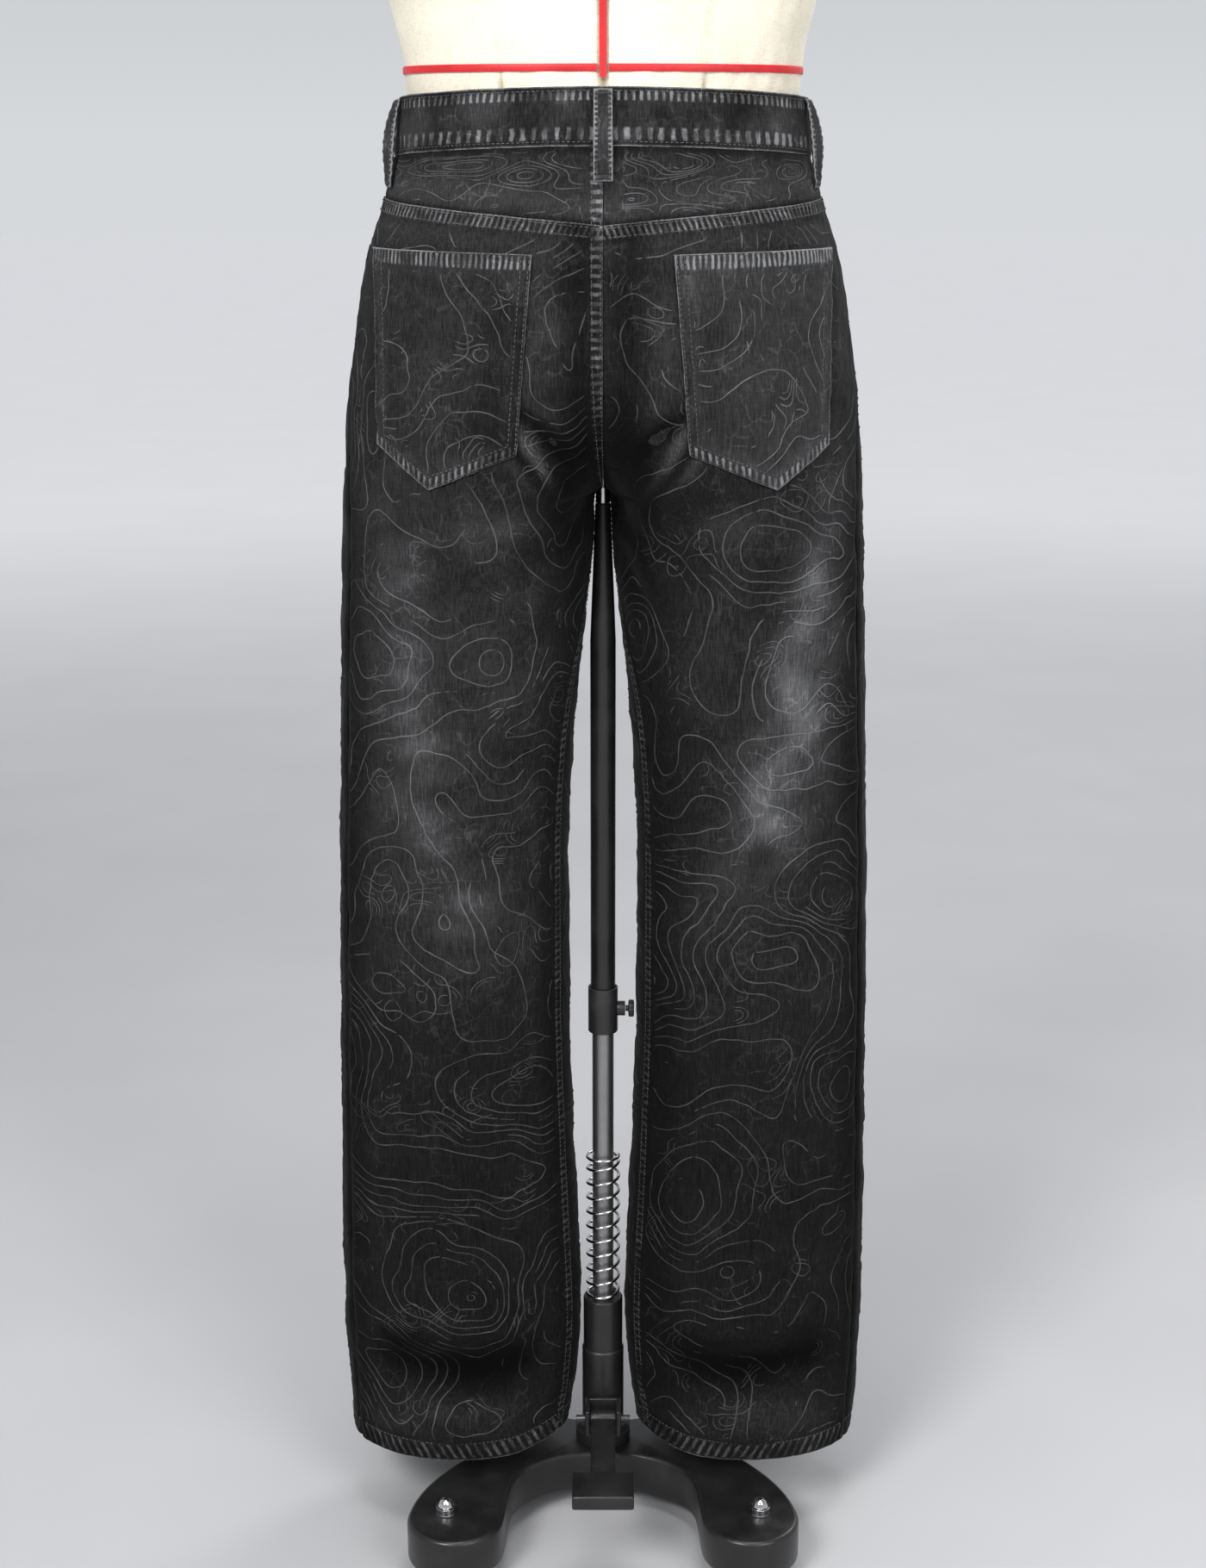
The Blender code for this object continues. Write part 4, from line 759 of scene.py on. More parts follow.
def place_piece(name, mesh, look, body="carriage", nodes=(), sharp=35):
    """A piece on a body, smooth but for edges over an angle. With no angle all of it is smooth."""
    obj = add_object(name, mesh, look)
    mesh.shade_smooth()
    if sharp:
        mesh.set_sharp_from_angle(angle=math.radians(sharp))
    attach(obj, body)
    if nodes:
        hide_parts(*nodes)
    return obj


def mesh_of(name, points, faces, numbers=None):
    """A mesh, with numbers that its material reads at each point."""
    mesh = bpy.data.meshes.new(name)
    mesh.from_pydata(np.asarray(points, float).tolist(), [], faces)
    for key, values in (numbers or {}).items():
        attribute = mesh.attributes.new(key, "FLOAT", "POINT")
        attribute.data.foreach_set("value", np.asarray(values, np.float32).ravel())
    mesh.validate()
    return mesh


# What each point of a cloth piece tells its material, with the value where there is nothing to tell. Among
# them are pale marks, partly wash fades and partly painted highlights, and painted shade
NUMBERS = {"wash_and_highlight": 0.0, "painted_shade": 0.0, "rung_a": 0.0, "band_a": 9.0, "rung_b": 0.0, "band_b": 9.0, "edge": 1.0}

# Rows and columns of the cloth pieces' outer sides, each one over a multiple of the inner sides' coarse step
COARSE = 4
PANEL_GRID, YOKE_GRID, FACING_GRID = (449, 101), (29, 129), (41, 61)
POCKET_GRID, BAND_GRID, LOOP_GRID, FLY_GRID = (125, 89), (33, 601), (65, 17), (97, 25)

RIDGE_STEP = 0.0032
RIDGE_SUNK = 0.0001


def quads(ids):
    """The faces between the neighbours of a grid of point numbers."""
    corners = ids[:-1, :-1], ids[1:, :-1], ids[1:, 1:], ids[:-1, 1:]
    return np.stack(corners, axis=-1).reshape(-1, 4).tolist()


def tube_quads(rows, columns):
    """The faces of a grid whose last column joins its first."""
    ids = np.arange(rows * columns).reshape(rows, columns)
    return quads(np.column_stack([ids, ids[:, 0]]).T)


def cloth_mesh(name, outer, inner, side, numbers):
    """A cloth piece: a fine outer side, a coarse inner side, and the rim between them."""
    inside = inner[::COARSE, ::COARSE]
    fine = np.arange(outer[..., 0].size).reshape(outer.shape[:2])
    wide = fine.size + np.arange(inside[..., 0].size).reshape(inside.shape[:2])
    faces = quads(fine) + quads(wide.T)
    across = (fine[0], wide[0], 1), (fine[-1], wide[-1], -1)
    down = (fine[:, 0], wide[:, 0], -1), (fine[:, -1], wide[:, -1], 1)
    for edge, few, turn in across + down:
        for k in range(len(few) - 1):
            near, far = edge[k * COARSE : (k + 1) * COARSE + 1], few[k : k + 2]
            faces.append(near[::turn].tolist() + far[::-turn].tolist())
    if side < 0:
        faces = [tuple(reversed(face)) for face in faces]
    values = {}
    for key, plain in NUMBERS.items():
        grid = np.broadcast_to(numbers.get(key, plain), fine.shape).astype(float)
        values[key] = np.concatenate([grid.ravel(), np.full(wide.size, plain)])
    points = np.concatenate([outer.reshape(-1, 3), inside.reshape(-1, 3)])
    return mesh_of(name, points, faces, values)


def denim_piece(node, outer, inner, side, numbers):
    """The cloth piece that stands in for a node."""
    mesh = cloth_mesh(node + "_denim", outer, inner, side, numbers)
    return place_piece(node + "_denim", mesh, CLOTH, nodes=[node], sharp=60)


def across_grid(first, last, rows, columns):
    """A grid whose rows all run from the first value to the last."""
    return np.broadcast_to(np.linspace(first, last, columns), (rows, columns))


def down_shares(rows):
    """A column of shares from 0 at the top to 1 at the bottom."""
    return np.linspace(0.0, 1.0, rows)[:, None]


def grid_normals(points, side):
    """Outward directions at the points of a grid on one side of the jeans."""
    return unit(np.cross(np.gradient(points, axis=0), np.gradient(points, axis=1)) * side)


def contours(points, normals, field, numbers, keep):
    """Lines where a field on a grid passes a whole number: rows of point, normal, pale mark (partly painted
    highlight) and painted shade.
    """
    shape = field.shape
    extra = [np.broadcast_to(numbers[key], shape) for key in ("wash_and_highlight", "painted_shade")]
    packed = np.concatenate([points, normals, np.stack([*extra, keep.astype(float)], axis=2)], axis=2)
    lines = []
    for level in range(int(math.floor(field.min())) + 1, int(math.ceil(field.max()))):
        above = field > level
        crossings = {}

        def crossing(a, b):
            if (a, b) not in crossings:
                t = (level - field[a]) / (field[b] - field[a])
                crossings[a, b] = packed[a] * (1 - t) + packed[b] * t
            return a, b

        mixed = above[:-1, :-1].astype(int) + above[1:, :-1] + above[:-1, 1:] + above[1:, 1:]
        joined = {}
        for i, j in np.argwhere((mixed > 0) & (mixed < 4)).tolist():
            corners = (i, j), (i, j + 1), (i + 1, j + 1), (i + 1, j)
            pairs = ((0, 1), (1, 2), (3, 2), (0, 3))
            sides = [(corners[m], corners[n]) for m, n in pairs]
            edges = [crossing(a, b) for a, b in sides if above[a] != above[b]]
            for first, second in zip(edges[::2], edges[1::2]):
                joined.setdefault(first, []).append(second)
                joined.setdefault(second, []).append(first)
        left = set(joined)
        ends = [key for key in joined if len(joined[key]) == 1]
        for begin in ends + list(joined):
            if begin not in left:
                continue
            line = [begin]
            left.discard(begin)
            while True:
                further = [key for key in joined[line[-1]] if key in left]
                if not further:
                    break
                line.append(further[0])
                left.discard(further[0])
            if len(line) > 8 and line[0] in joined[line[-1]]:
                line.append(line[0])
            lines += kept_runs(np.array([crossings[key] for key in line]))
    return lines


def kept_runs(chain):
    """The stretches of a chain that lie where lines are kept."""
    edges = np.flatnonzero(np.diff(np.concatenate([[0], chain[:, 8] > 0.5, [0]]).astype(int)))
    return [chain[a:b] for a, b in zip(edges[::2], edges[1::2]) if b - a > 5]


def even(chain, step):
    """A chain of points at about even steps."""
    run = runs(chain[:, :3])
    wanted = np.linspace(0.0, run[-1], max(3, int(round(run[-1] / step)) + 1))
    return np.stack([np.interp(wanted, run, column) for column in chain.T], axis=1)


def ridges(name, chains, width, height, seed, broken):
    """Raised ribs along chains, fading out here and there."""
    rng = np.random.default_rng(seed)
    points, faces, wash_and_highlights, painted_shades = [], [], [], []
    for chain in chains:
        chain = even(chain, RIDGE_STEP)
        middle = chain[1:-1] * 0.5 + (chain[:-2] + chain[2:]) * 0.25
        chain = np.concatenate([chain[:1], middle, chain[-1:]])
        spots, normals = chain[:, :3], unit(chain[:, 3:6])
        across = unit(np.cross(normals, np.gradient(spots, axis=0)))
        turn = np.cumsum(rng.normal(0, 0.25, len(chain)))
        lift = 0.80 + 0.20 * np.sin(turn + rng.uniform(0, 6.28))
        gone = np.sin(turn * 0.7 + rng.uniform(0, 6.28)) > 1.0 - 2 * broken
        lift = np.where(gone, -0.5, lift)
        lift[[0, -1]] = -0.3
        reach = across * (width * (0.65 + 0.35 * np.maximum(lift, 0.0)))[:, None]
        foot = spots - normals * RIDGE_SUNK
        start = len(points)
        crown = spots + normals * height * lift[:, None]
        points.extend(np.stack([foot - reach, crown, foot + reach], axis=1).reshape(-1, 3))
        # Each rib takes the cloth's pale marks, partly painted highlights, and its painted shade.
        wash_and_highlights.extend(np.repeat(chain[:, 6], 3))
        painted_shades.extend(np.repeat(chain[:, 7], 3))
        for k in range(len(chain) - 1):
            if max(lift[k], lift[k + 1]) >= 0:
                a = start + 3 * k
                faces += [(a, a + 1, a + 4, a + 3), (a + 1, a + 2, a + 5, a + 4)]
    used = sorted({index for face in faces for index in face})
    renumber = {old: new for new, old in enumerate(used)}
    faces = [tuple(renumber[index] for index in face) for face in faces]
    numbers = {"wash_and_highlight": np.array(wash_and_highlights)[used], "painted_shade": np.array(painted_shades)[used]}
    return place_piece(name, mesh_of(name, np.array(points)[used], faces, numbers), RIDGE, sharp=0)


STITCHES = {}
STITCH_SUNK = 0.0002


def sew(group, points, normals, pitch=0.0036, length=0.0029, radius=0.00035, sunk=0.0):
    """Adds a row of stitches along points on a surface to a group's mesh."""
    chain, run = np.concatenate([points, normals], axis=1), runs(points)
    count = int(run[-1] / pitch)
    if count < 1:
        return
    middles = (np.arange(count) + 0.5) * run[-1] / count

    def read_at(distance):
        return np.stack([np.interp(distance, run, column) for column in chain.T], axis=1)

    begin, middle, end = (read_at(middles + offset) for offset in (-length / 2, 0.0, length / 2))
    begin, up, end = begin[:, :3], unit(middle[:, 3:]), end[:, :3]
    across = unit(np.cross(up, end - begin))
    stitch_points, stitch_faces = STITCHES.setdefault(group, ([], []))
    for k in range(count):
        base = len(stitch_points)
        rings = []
        for t, size in ((0.18, 0.75), (0.5, 1.0), (0.82, 0.75)):
            core = begin[k] * (1 - t) + end[k] * t + up[k] * (radius * 0.45 - sunk)
            reach, rise = across[k] * radius * size, up[k] * radius * size
            rings += [core + reach, core + rise, core - reach]
        down = up[k] * (STITCH_SUNK + sunk)
        stitch_points.extend([begin[k] - down, *rings, end[k] - down])
        for n in range(2):
            stitch_faces.append((base, base + 1 + n, base + 2 + n))
            stitch_faces.append((base + 10, base + 8 + n, base + 7 + n))
            for a in (base + 1 + n, base + 4 + n):
                stitch_faces.append((a, a + 3, a + 4, a + 1))


def sew_on(group, cloth, place, height, out, **how):
    """A row of stitches at places and heights on the cloth, moved out by a distance."""
    normals = unit(cloth.at(place, height, out + 0.01) - cloth.at(place, height, out))
    sew(group, cloth.at(place, height, out + 0.0001), normals, **how)


def sew_along(group, outer, normals, i, j, **how):
    """A row of stitches along rows i and columns j of a grid, either of which may be one number."""
    i, j = np.broadcast_arrays(i, j)
    sew(group, pick(outer, i, j), pick(normals, i, j), **how)


def finish_stitches():
    for group, (points, faces) in STITCHES.items():
        place_piece(group, mesh_of(group, points, faces), THREAD, sharp=0)


# Denim


def plateau(off, width, soft=0.0009):
    """1 from an edge to a width away from it, falling off softly past it."""
    return smoothstep(width + soft, width - soft, off)


def swirl_field(u, v, seed, low, high, gap=0.092):
    """Heights of rolling country, so that its level lines are rings and long wandering lines."""
    rng = np.random.default_rng(seed)
    bends = [0.0022 * wander(u, v, seed + n, 0.030, 0.080) for n in (1, 2)]
    shakes = [0.0004 * wander(u, v, seed + n, 0.006, 0.014) for n in (4, 5)]
    bend_u, bend_v = u + bends[0] + shakes[0], v + bends[1] + shakes[1]
    field = 1.2 * wander(bend_u, bend_v, seed + 3, 0.120, 0.260, 9)
    for row in range(int((high - low) / gap) + 1):
        for column in range(4):
            if rng.uniform() < 0.10:
                continue
            cu = (column + 0.5 * (row % 2)) * 0.088 + rng.uniform(-0.014, 0.014)
            cv = low + (row + 0.5) * gap + rng.uniform(-0.020, 0.020)
            size = rng.uniform(0.024, 0.036)
            squeeze = rng.uniform(0.75, 1.3)
            tall = rng.uniform(2.4, 4.2)
            away = ((bend_u - cu) * squeeze) ** 2 + ((bend_v - cv) / squeeze) ** 2
            field = field + tall * np.exp(-away / (2 * size**2))
    return field + 0.5


def marks_at(cloth, marks, across, height):
    """How strong a table's marks are at distances from the middle and heights."""
    total = np.zeros(across.shape)
    for mark in marks:
        if mark.side in (0, cloth.side):
            middle = mark.across + mark.lean * (height - mark.height)
            away = ((across - middle) / mark.wide) ** 2 + ((height - mark.height) / mark.high) ** 2
            total = total + mark.strength * np.exp(-away)
    rough = 0.86 + 0.16 * wander(across, height, 71 + cloth.side, 0.025, 0.080)
    return np.clip(total * rough, 0.0, 1.2)


def panel_grid(cloth, kind):
    """The places and heights of a leg panel's points, and how far each lies in from the panel's edges."""
    back = kind == "back"
    first, last = (0.0, 0.5) if back else (0.5, 1.0)
    place = across_grid(first + EDGE_INSET, last - EDGE_INSET, *PANEL_GRID)
    top, low = yoke_seam(place) - SEAM_GAP if back else scoop_line(place), hem_height(place)
    share = down_shares(PANEL_GRID[0])
    height = top * (1 - share) + low * share
    from_back = cloth.around(place, height)
    behind, before = cloth.length(height, "back"), cloth.length(height, "front")
    across = np.abs(cloth.at(place, height)[..., 0])
    leg = smoothstep(CROTCH_HEIGHT + 0.006, CROTCH_HEIGHT - 0.002, height)
    felled = leg if back else 0.0 * leg
    if cloth.side < 0:
        felled = np.maximum(felled, 1.0 - leg)
    return SimpleNamespace(
        kind=kind,
        place=place,
        height=height,
        top=top,
        across=across,
        leg=leg,
        felled=felled,
        off_top=top - height,
        off_hem=height - low,
        off_inside=across - across.min(axis=1, keepdims=True),
        from_middle=from_back if back else behind + before - from_back,
        from_outseam=behind - from_back if back else from_back - behind,
        crests=marks_at(cloth, CRESTS, across, height) if back else 0.0,
        hollows=marks_at(cloth, HOLLOWS, across, height) if back else 0.0,
    )


def hem_rungs(grid):
    """How many slanting rungs the hem has up to each point, counted from the outseam."""
    return (grid.from_outseam + 0.35 * grid.off_hem) / HEM_PITCH


def panel_numbers(grid, cloth):
    """A leg panel's rungs and worn edges, its pale marks, partly wash fades and partly painted highlights,
    and its painted shade.
    """
    height, from_middle = grid.height, grid.from_middle
    upper, on_fell = height > 0.6, grid.felled > 0.5
    wash_and_highlight = marks_at(cloth, BACK_WASH_AND_HIGHLIGHTS if grid.kind == "back" else FRONT_WASH_AND_HIGHLIGHTS, grid.across, height)
    # Painted highlight on the crests of the seat creases.
    wash_and_highlight = wash_and_highlight + 0.75 * grid.crests
    wash_and_highlight += 0.22 * hump(grid.off_hem, 0.026, 0.012) + 0.18 * hump(grid.off_top, 0.018, 0.012)
    under = smoothstep(0.93, 0.86, height) * smoothstep(0.75, 0.86, height)
    inner_painted_shade, inner_wide = (0.30, 0.022) if cloth.side < 0 else (0.42, 0.042)
    free = smoothstep(0.02, 0.06, from_middle) * smoothstep(0.015, 0.05, grid.from_outseam)
    # Painted shade: at the crotch, in the hollows of the seat creases and less on their crests, under the
    # seat, along the legs' inner edges, towards the outseam, beside the sunk centre back seam and in the
    # dents above the hem. The legs are also darker below about half a metre up.
    painted_shade = 1.15 * hump(height, 0.878, 0.040) * smoothstep(0.050, 0.012, grid.across)
    painted_shade = painted_shade + 0.90 * grid.hollows - 0.25 * grid.crests
    painted_shade += 0.35 * under * smoothstep(0.100, 0.02, grid.across)
    painted_shade += inner_painted_shade * smoothstep(inner_wide, 0.004, grid.off_inside) * grid.leg
    painted_shade += 0.50 * smoothstep(0.036, 0.0, grid.from_outseam)
    painted_shade += 0.20 * smoothstep(0.52, 0.40, height)
    painted_shade += 0.45 * hump(from_middle, 0.018, 0.014) * smoothstep(0.88, 0.93, height)
    painted_shade += 0.95 * hump(height, 0.158 + 0.006 * np.sin(grid.from_outseam * 40), 0.018) * free
    edges = grid.off_top + 0.0002, np.where(on_fell, from_middle + 0.0004, 1.0), np.abs(grid.off_hem) + 0.0003
    return {
        "rung_a": np.where(upper, grid.from_outseam / TOP_PITCH[grid.kind], hem_rungs(grid)),
        "band_a": np.where(upper, grid.off_top / TOP_WIDTH[grid.kind], grid.off_hem / HEM_FOLD),
        "rung_b": height / FELL_PITCH,
        "band_b": np.where(on_fell, from_middle / FELL_WIDTH, NUMBERS["band_b"]),
        "edge": np.minimum.reduce(edges),
        "wash_and_highlight": wash_and_highlight,
        "painted_shade": np.clip(painted_shade, 0.0, 1.2),
    }


def panel_relief(grid, seed):
    """How far ripples, puckers, bands of sewing and the outseam lift a leg panel's points."""
    u, height, off_top, off_hem = grid.from_outseam, grid.height, grid.off_top, grid.off_hem
    out = 0.00018 * wander(u, height, seed + 11, 0.010, 0.030)
    out += 0.00035 * wander(u, height, seed + 12, 0.035, 0.090)
    out += 0.0014 * grid.crests - 0.0016 * grid.hollows
    puckers = wave(u / 0.0105 + 0.15 * wander(u, height, seed + 13, 0.03, 0.08))
    out += 0.00028 * puckers * (hump(off_top, 0.014, 0.008) + hump(off_hem, 0.024, 0.009))
    if grid.kind == "back":
        width = TOP_WIDTH["back"]
        out += 0.0008 * plateau(off_top, width)
        out += 0.00018 * wave(u / TOP_PITCH["back"]) * plateau(off_top, width * 0.85)
    else:
        out += 0.0005 * plateau(off_top, 0.0070)
    ribs = 0.00012 * wave(height / FELL_PITCH) * plateau(grid.from_middle, FELL_WIDTH * 0.85)
    out += grid.felled * (0.0007 * plateau(grid.from_middle, FELL_WIDTH) + ribs)
    out += 0.0005 * hump(u, 0.0065, 0.0035) - 0.0007 * hump(u, 0.0, 0.0013)
    out += 0.00042 * wave(hem_rungs(grid)) * smoothstep(0.0, 0.003, off_hem) * plateau(off_hem, 0.014, 0.002)
    return out - 0.0004 * hump(off_hem, HEM_STITCH, 0.0012)


def panel(kind, name, side, seed):
    """A leg's back or front, with its raised lines and fine creases."""
    cloth = CLOTHS[side]
    grid = panel_grid(cloth, kind)
    place, height, u = grid.place, grid.height, grid.from_outseam
    numbers = panel_numbers(grid, cloth)
    outer = cloth.at(place, height, panel_relief(grid, seed))
    node = f"{kind}_leg_{name}"
    piece = denim_piece(node, outer, cloth.at(place, height, -DENIM), side, numbers)
    keep = (grid.off_hem > 0.020) & (grid.off_top > (0.012 if kind == "back" else 0.010)) & (u > 0.004)
    keep &= grid.from_middle > np.where(grid.felled > 0.5, 0.0115, 0.004)
    if kind == "back":
        keep &= ~under_pocket(grid.across, height)
    normals = grid_normals(outer, side)
    lines = contours(outer, normals, 1.35 * swirl_field(u, height, seed, 0.06, 1.08), numbers, keep)
    fine = 1.10 * wander(u, height, seed + 21, 0.020, 0.050, 14) + 0.5
    patches = wander(u, height, seed + 22, 0.05, 0.12) > 0.90
    bits = contours(outer, normals, fine, numbers, keep & patches)
    extra = [
        ridges(node + "_lines", lines, 0.00068, 0.00075, seed + 31, 0.05),
        ridges(node + "_crumple", bits, 0.00045, 0.00045, seed + 32, 0.30),
    ]
    width = float(np.mean(cloth.length(np.linspace(0.08, 1.05, 40), kind)))


def under_pocket(across, height):
    """Where a back pocket covers the panel."""
    corners = (POCKET_INNER_TOP, POCKET_INNER_LOW, POCKET_POINT, POCKET_OUTER_LOW, POCKET_OUTER_TOP)
    inside = np.ones(across.shape, bool)
    for a, b in zip(corners, corners[1:] + corners[:1]):
        cross = (b.across - a.across) * (height - a.height) - (b.height - a.height) * (across - a.across)
        inside &= cross > -0.0001
    return inside


def path_of(points):
    """Distances along each row of a grid of points, and down each column."""
    along = np.linalg.norm(np.diff(points, axis=1), axis=2).cumsum(axis=1)
    down = np.linalg.norm(np.diff(points, axis=0), axis=2).cumsum(axis=0)
    along = np.concatenate([np.zeros((points.shape[0], 1)), along], axis=1)
    down = np.concatenate([np.zeros((1, points.shape[1])), down], axis=0)
    return along, down


def yoke(name, side, seed):
    cloth = CLOTHS[side]
    place = across_grid(EDGE_INSET, 0.5 - EDGE_INSET, *YOKE_GRID)
    high, low = band_bottom(place) - 2 * SEAM_GAP, yoke_seam(place)
    height = high + (low - high) * down_shares(len(place))
    u = cloth.around(place, height)
    from_outseam = cloth.length(height, "back") - u
    off_low, off_top = height - low, high - height
    felled = side < 0
    out = 0.00030 * wander(u, height, seed, 0.012, 0.035) + 0.0003 * wander(u, height, seed + 1, 0.04, 0.09)
    out += 0.00022 * wave(u / 0.0085) * hump(off_low, 0.004, 0.006)
    out -= 0.0004 * hump(off_low, 0.0, 0.0014) + 0.0007 * hump(from_outseam, 0.0, 0.0013)
    out += felled * 0.0007 * plateau(u, FELL_WIDTH)
    # Painted shade along the yoke seam, under the waistband and towards the outseam.
    painted_shade = 0.35 * hump(off_low, 0.0, 0.0020) + 0.35 * hump(off_top, 0.0, 0.004)
    numbers = {
        "wash_and_highlight": 0.30 * hump(off_low, 0.012, 0.010) + 0.15,
        "painted_shade": painted_shade + 0.4 * hump(from_outseam, 0.0, 0.010),
        "rung_b": height / FELL_PITCH,
        "band_b": u / FELL_WIDTH if felled else NUMBERS["band_b"],
        "edge": u + 0.0004 if felled else NUMBERS["edge"],
    }
    outer = cloth.at(place, height, out)
    node = f"yoke_{name}"
    piece = denim_piece(node, outer, cloth.at(place, height, -DENIM), side, numbers)
    field = 1.7 * wander(u * 0.45, height * 1.7, seed + 3, 0.018, 0.050, 14) + 0.5
    keep = (off_low > 0.003) & (off_top > 0.003) & (u > 0.012) & (from_outseam > 0.006)
    lines = contours(outer, grid_normals(outer, side), field, numbers, keep)
    extra = [ridges(node + "_crumple", lines, 0.00048, 0.00050, seed + 4, 0.22)]
    size, under = (float(cloth.length(1.09, "back")), YOKE_FLAT), ["torso_form"]
    line = np.linspace(0.006, 0.494, 200)
    for off in YOKE_ROWS:
        sew_on("seat_stitches", cloth, line, yoke_seam(line) - SEAM_GAP - off, 0.0009)


def pocket_spots(columns, rows):
    """Distances from the middle and heights of a back pocket's grid."""
    p, q = np.meshgrid(np.linspace(0.0, 1.0, columns), np.linspace(0.0, 1.0, rows))
    width = POCKET_OUTER_LOW.across - POCKET_INNER_LOW.across
    turn = (POCKET_POINT.across - POCKET_INNER_LOW.across) / width

    def mix(a, b, share, k):
        return a[k] + (b[k] - a[k]) * share

    spots = []
    for k in (0, 1):
        top = mix(POCKET_INNER_TOP, POCKET_OUTER_TOP, p, k)
        first = mix(POCKET_INNER_LOW, POCKET_POINT, p / turn, k)
        second = mix(POCKET_POINT, POCKET_OUTER_LOW, (p - turn) / (1 - turn), k)
        spots.append(top + (np.where(p < turn, first, second) - top) * q)
    return spots


def filled(grid, axis, count):
    """A coarse grid's values between its points along one axis."""
    spots = np.arange(0, count, COARSE)
    return np.apply_along_axis(lambda line: np.interp(np.arange(count), spots, line), axis, grid)


def back_pocket(name, side, seed):
    """A patch pocket with a turned top band, worn edges and double stitching."""
    cloth = CLOTHS[side]
    rows, columns = POCKET_GRID
    x, height = pocket_spots(columns, rows)
    place = cloth.place_behind(x[::COARSE, ::COARSE], height[::COARSE, ::COARSE])
    place = filled(filled(place, 1, columns), 0, rows)
    along, off_top = path_of(cloth.at(place, height))
    off_outer = along[:, -1:] - along
    low_slope = np.abs(np.gradient(height[-1]) / np.gradient(along[-1]))
    off_low = (off_top[-1:] - off_top) / np.sqrt(1 + low_slope[None, :] ** 2)
    off_side = np.minimum(along, off_outer)
    off_any = np.minimum.reduce((off_side, off_low, off_top))
    u = cloth.around(place, height)
    out = 0.00045 * plateau(off_top, POCKET_TOP_WIDTH) - 0.0009 * smoothstep(0.0016, 0.0, off_any)
    out += 0.00035 * plateau(np.minimum(off_side, off_low), POCKET_TURNING)
    out += 0.00022 * wander(u, height, seed, 0.010, 0.030)
    out += 0.00035 * wander(u, height, seed + 1, 0.035, 0.080)
    out += 0.00020 * wave(along / POCKET_TOP_PITCH) * plateau(off_top, 0.011)
    out += 0.00018 * wave(along / POCKET_LOW_PITCH) * plateau(off_low, 0.008)
    middle = np.sin(math.pi * np.clip(along / along[:, -1:], 0, 1)) ** 0.7
    out += 0.0016 * smoothstep(0.030, 0.0, off_top) * middle
    corner = np.maximum(*(hump(np.hypot(off_outer, off), 0.0, 0.012) for off in (off_low, off_top)))
    numbers = {
        "wash_and_highlight": 0.20 * hump(off_any, 0.010, 0.006) + 0.25 * corner + (0.14 if side < 0 else 0.40),
        # Painted shade over the pocket's inner side, below its top band.
        "painted_shade": 0.25 * smoothstep(0.045, 0.010, along) * smoothstep(0.02, 0.05, off_top),
        "rung_a": along / POCKET_TOP_PITCH,
        "band_a": off_top / POCKET_TOP_WIDTH,
        "rung_b": along / POCKET_LOW_PITCH,
        "band_b": off_low / POCKET_LOW_WIDTH,
        "edge": off_any + np.where(along < off_outer, 0.0005, 0.0) - 0.0006 * corner,
    }
    outer = cloth.at(place, height, POCKET_OUT + DENIM - 0.0005 + out)
    inner = cloth.at(place, height, POCKET_OUT - 0.0012 + np.minimum(0.0, 0.0002 * off_any))
    node = f"back_pocket_{name}"
    piece = denim_piece(node, outer, inner, side, numbers)
    normals = grid_normals(outer, side)
    keep = (off_top > 0.0135) & (off_side > POCKET_TURNING) & (off_low > POCKET_TURNING)
    field = swirl_field(u + 0.03, height, seed + 5, 0.86, 1.06, 0.075)
    lines = contours(outer, normals, field, numbers, keep)
    fine = 1.1 * wander(u, height, seed + 7, 0.018, 0.045, 14) + 0.5
    lines += contours(outer, normals, fine, numbers, keep & (wander(u, height, seed + 8, 0.03, 0.08) > 0.8))
    extra = [ridges(node + "_lines", lines, 0.00060, 0.00065, seed + 6, 0.08)]
    for off in POCKET_ROWS:
        sew_pocket("pocket_stitches", outer, normals, along[:, -1], off_top, off)


def sew_pocket(group, outer, normals, widths, down, off):
    """Stitches at a distance in from the sides and the lower edges of a pocket."""
    rows, columns = outer.shape[:2]
    side = [(i, off / widths[i] * (columns - 1)) for i in range(rows) if down[-1, 0] - down[i, 0] > off * 1.1]
    first = side[-1][1]
    low = []
    for j in np.linspace(first, columns - 1 - first, 120):
        low.append(((1.0 - off * 1.15 / down[-1, int(round(j))]) * (rows - 1), j))
    other = [(i, columns - 1 - j) for i, j in reversed(side)]
    i, j = np.array(side + low + other).T
    sew_along(group, outer, normals, i, j)


def pick(grid, i, j):
    """Values of a grid at rows i and columns j that aren't whole."""
    a = np.clip(np.floor(i).astype(int), 0, grid.shape[0] - 2)
    b = np.clip(np.floor(j).astype(int), 0, grid.shape[1] - 2)
    s, t = (i - a)[:, None], (j - b)[:, None]
    low = grid[a, b] * (1 - t) + grid[a, b + 1] * t
    high = grid[a + 1, b] * (1 - t) + grid[a + 1, b + 1] * t
    return low * (1 - s) + high * s


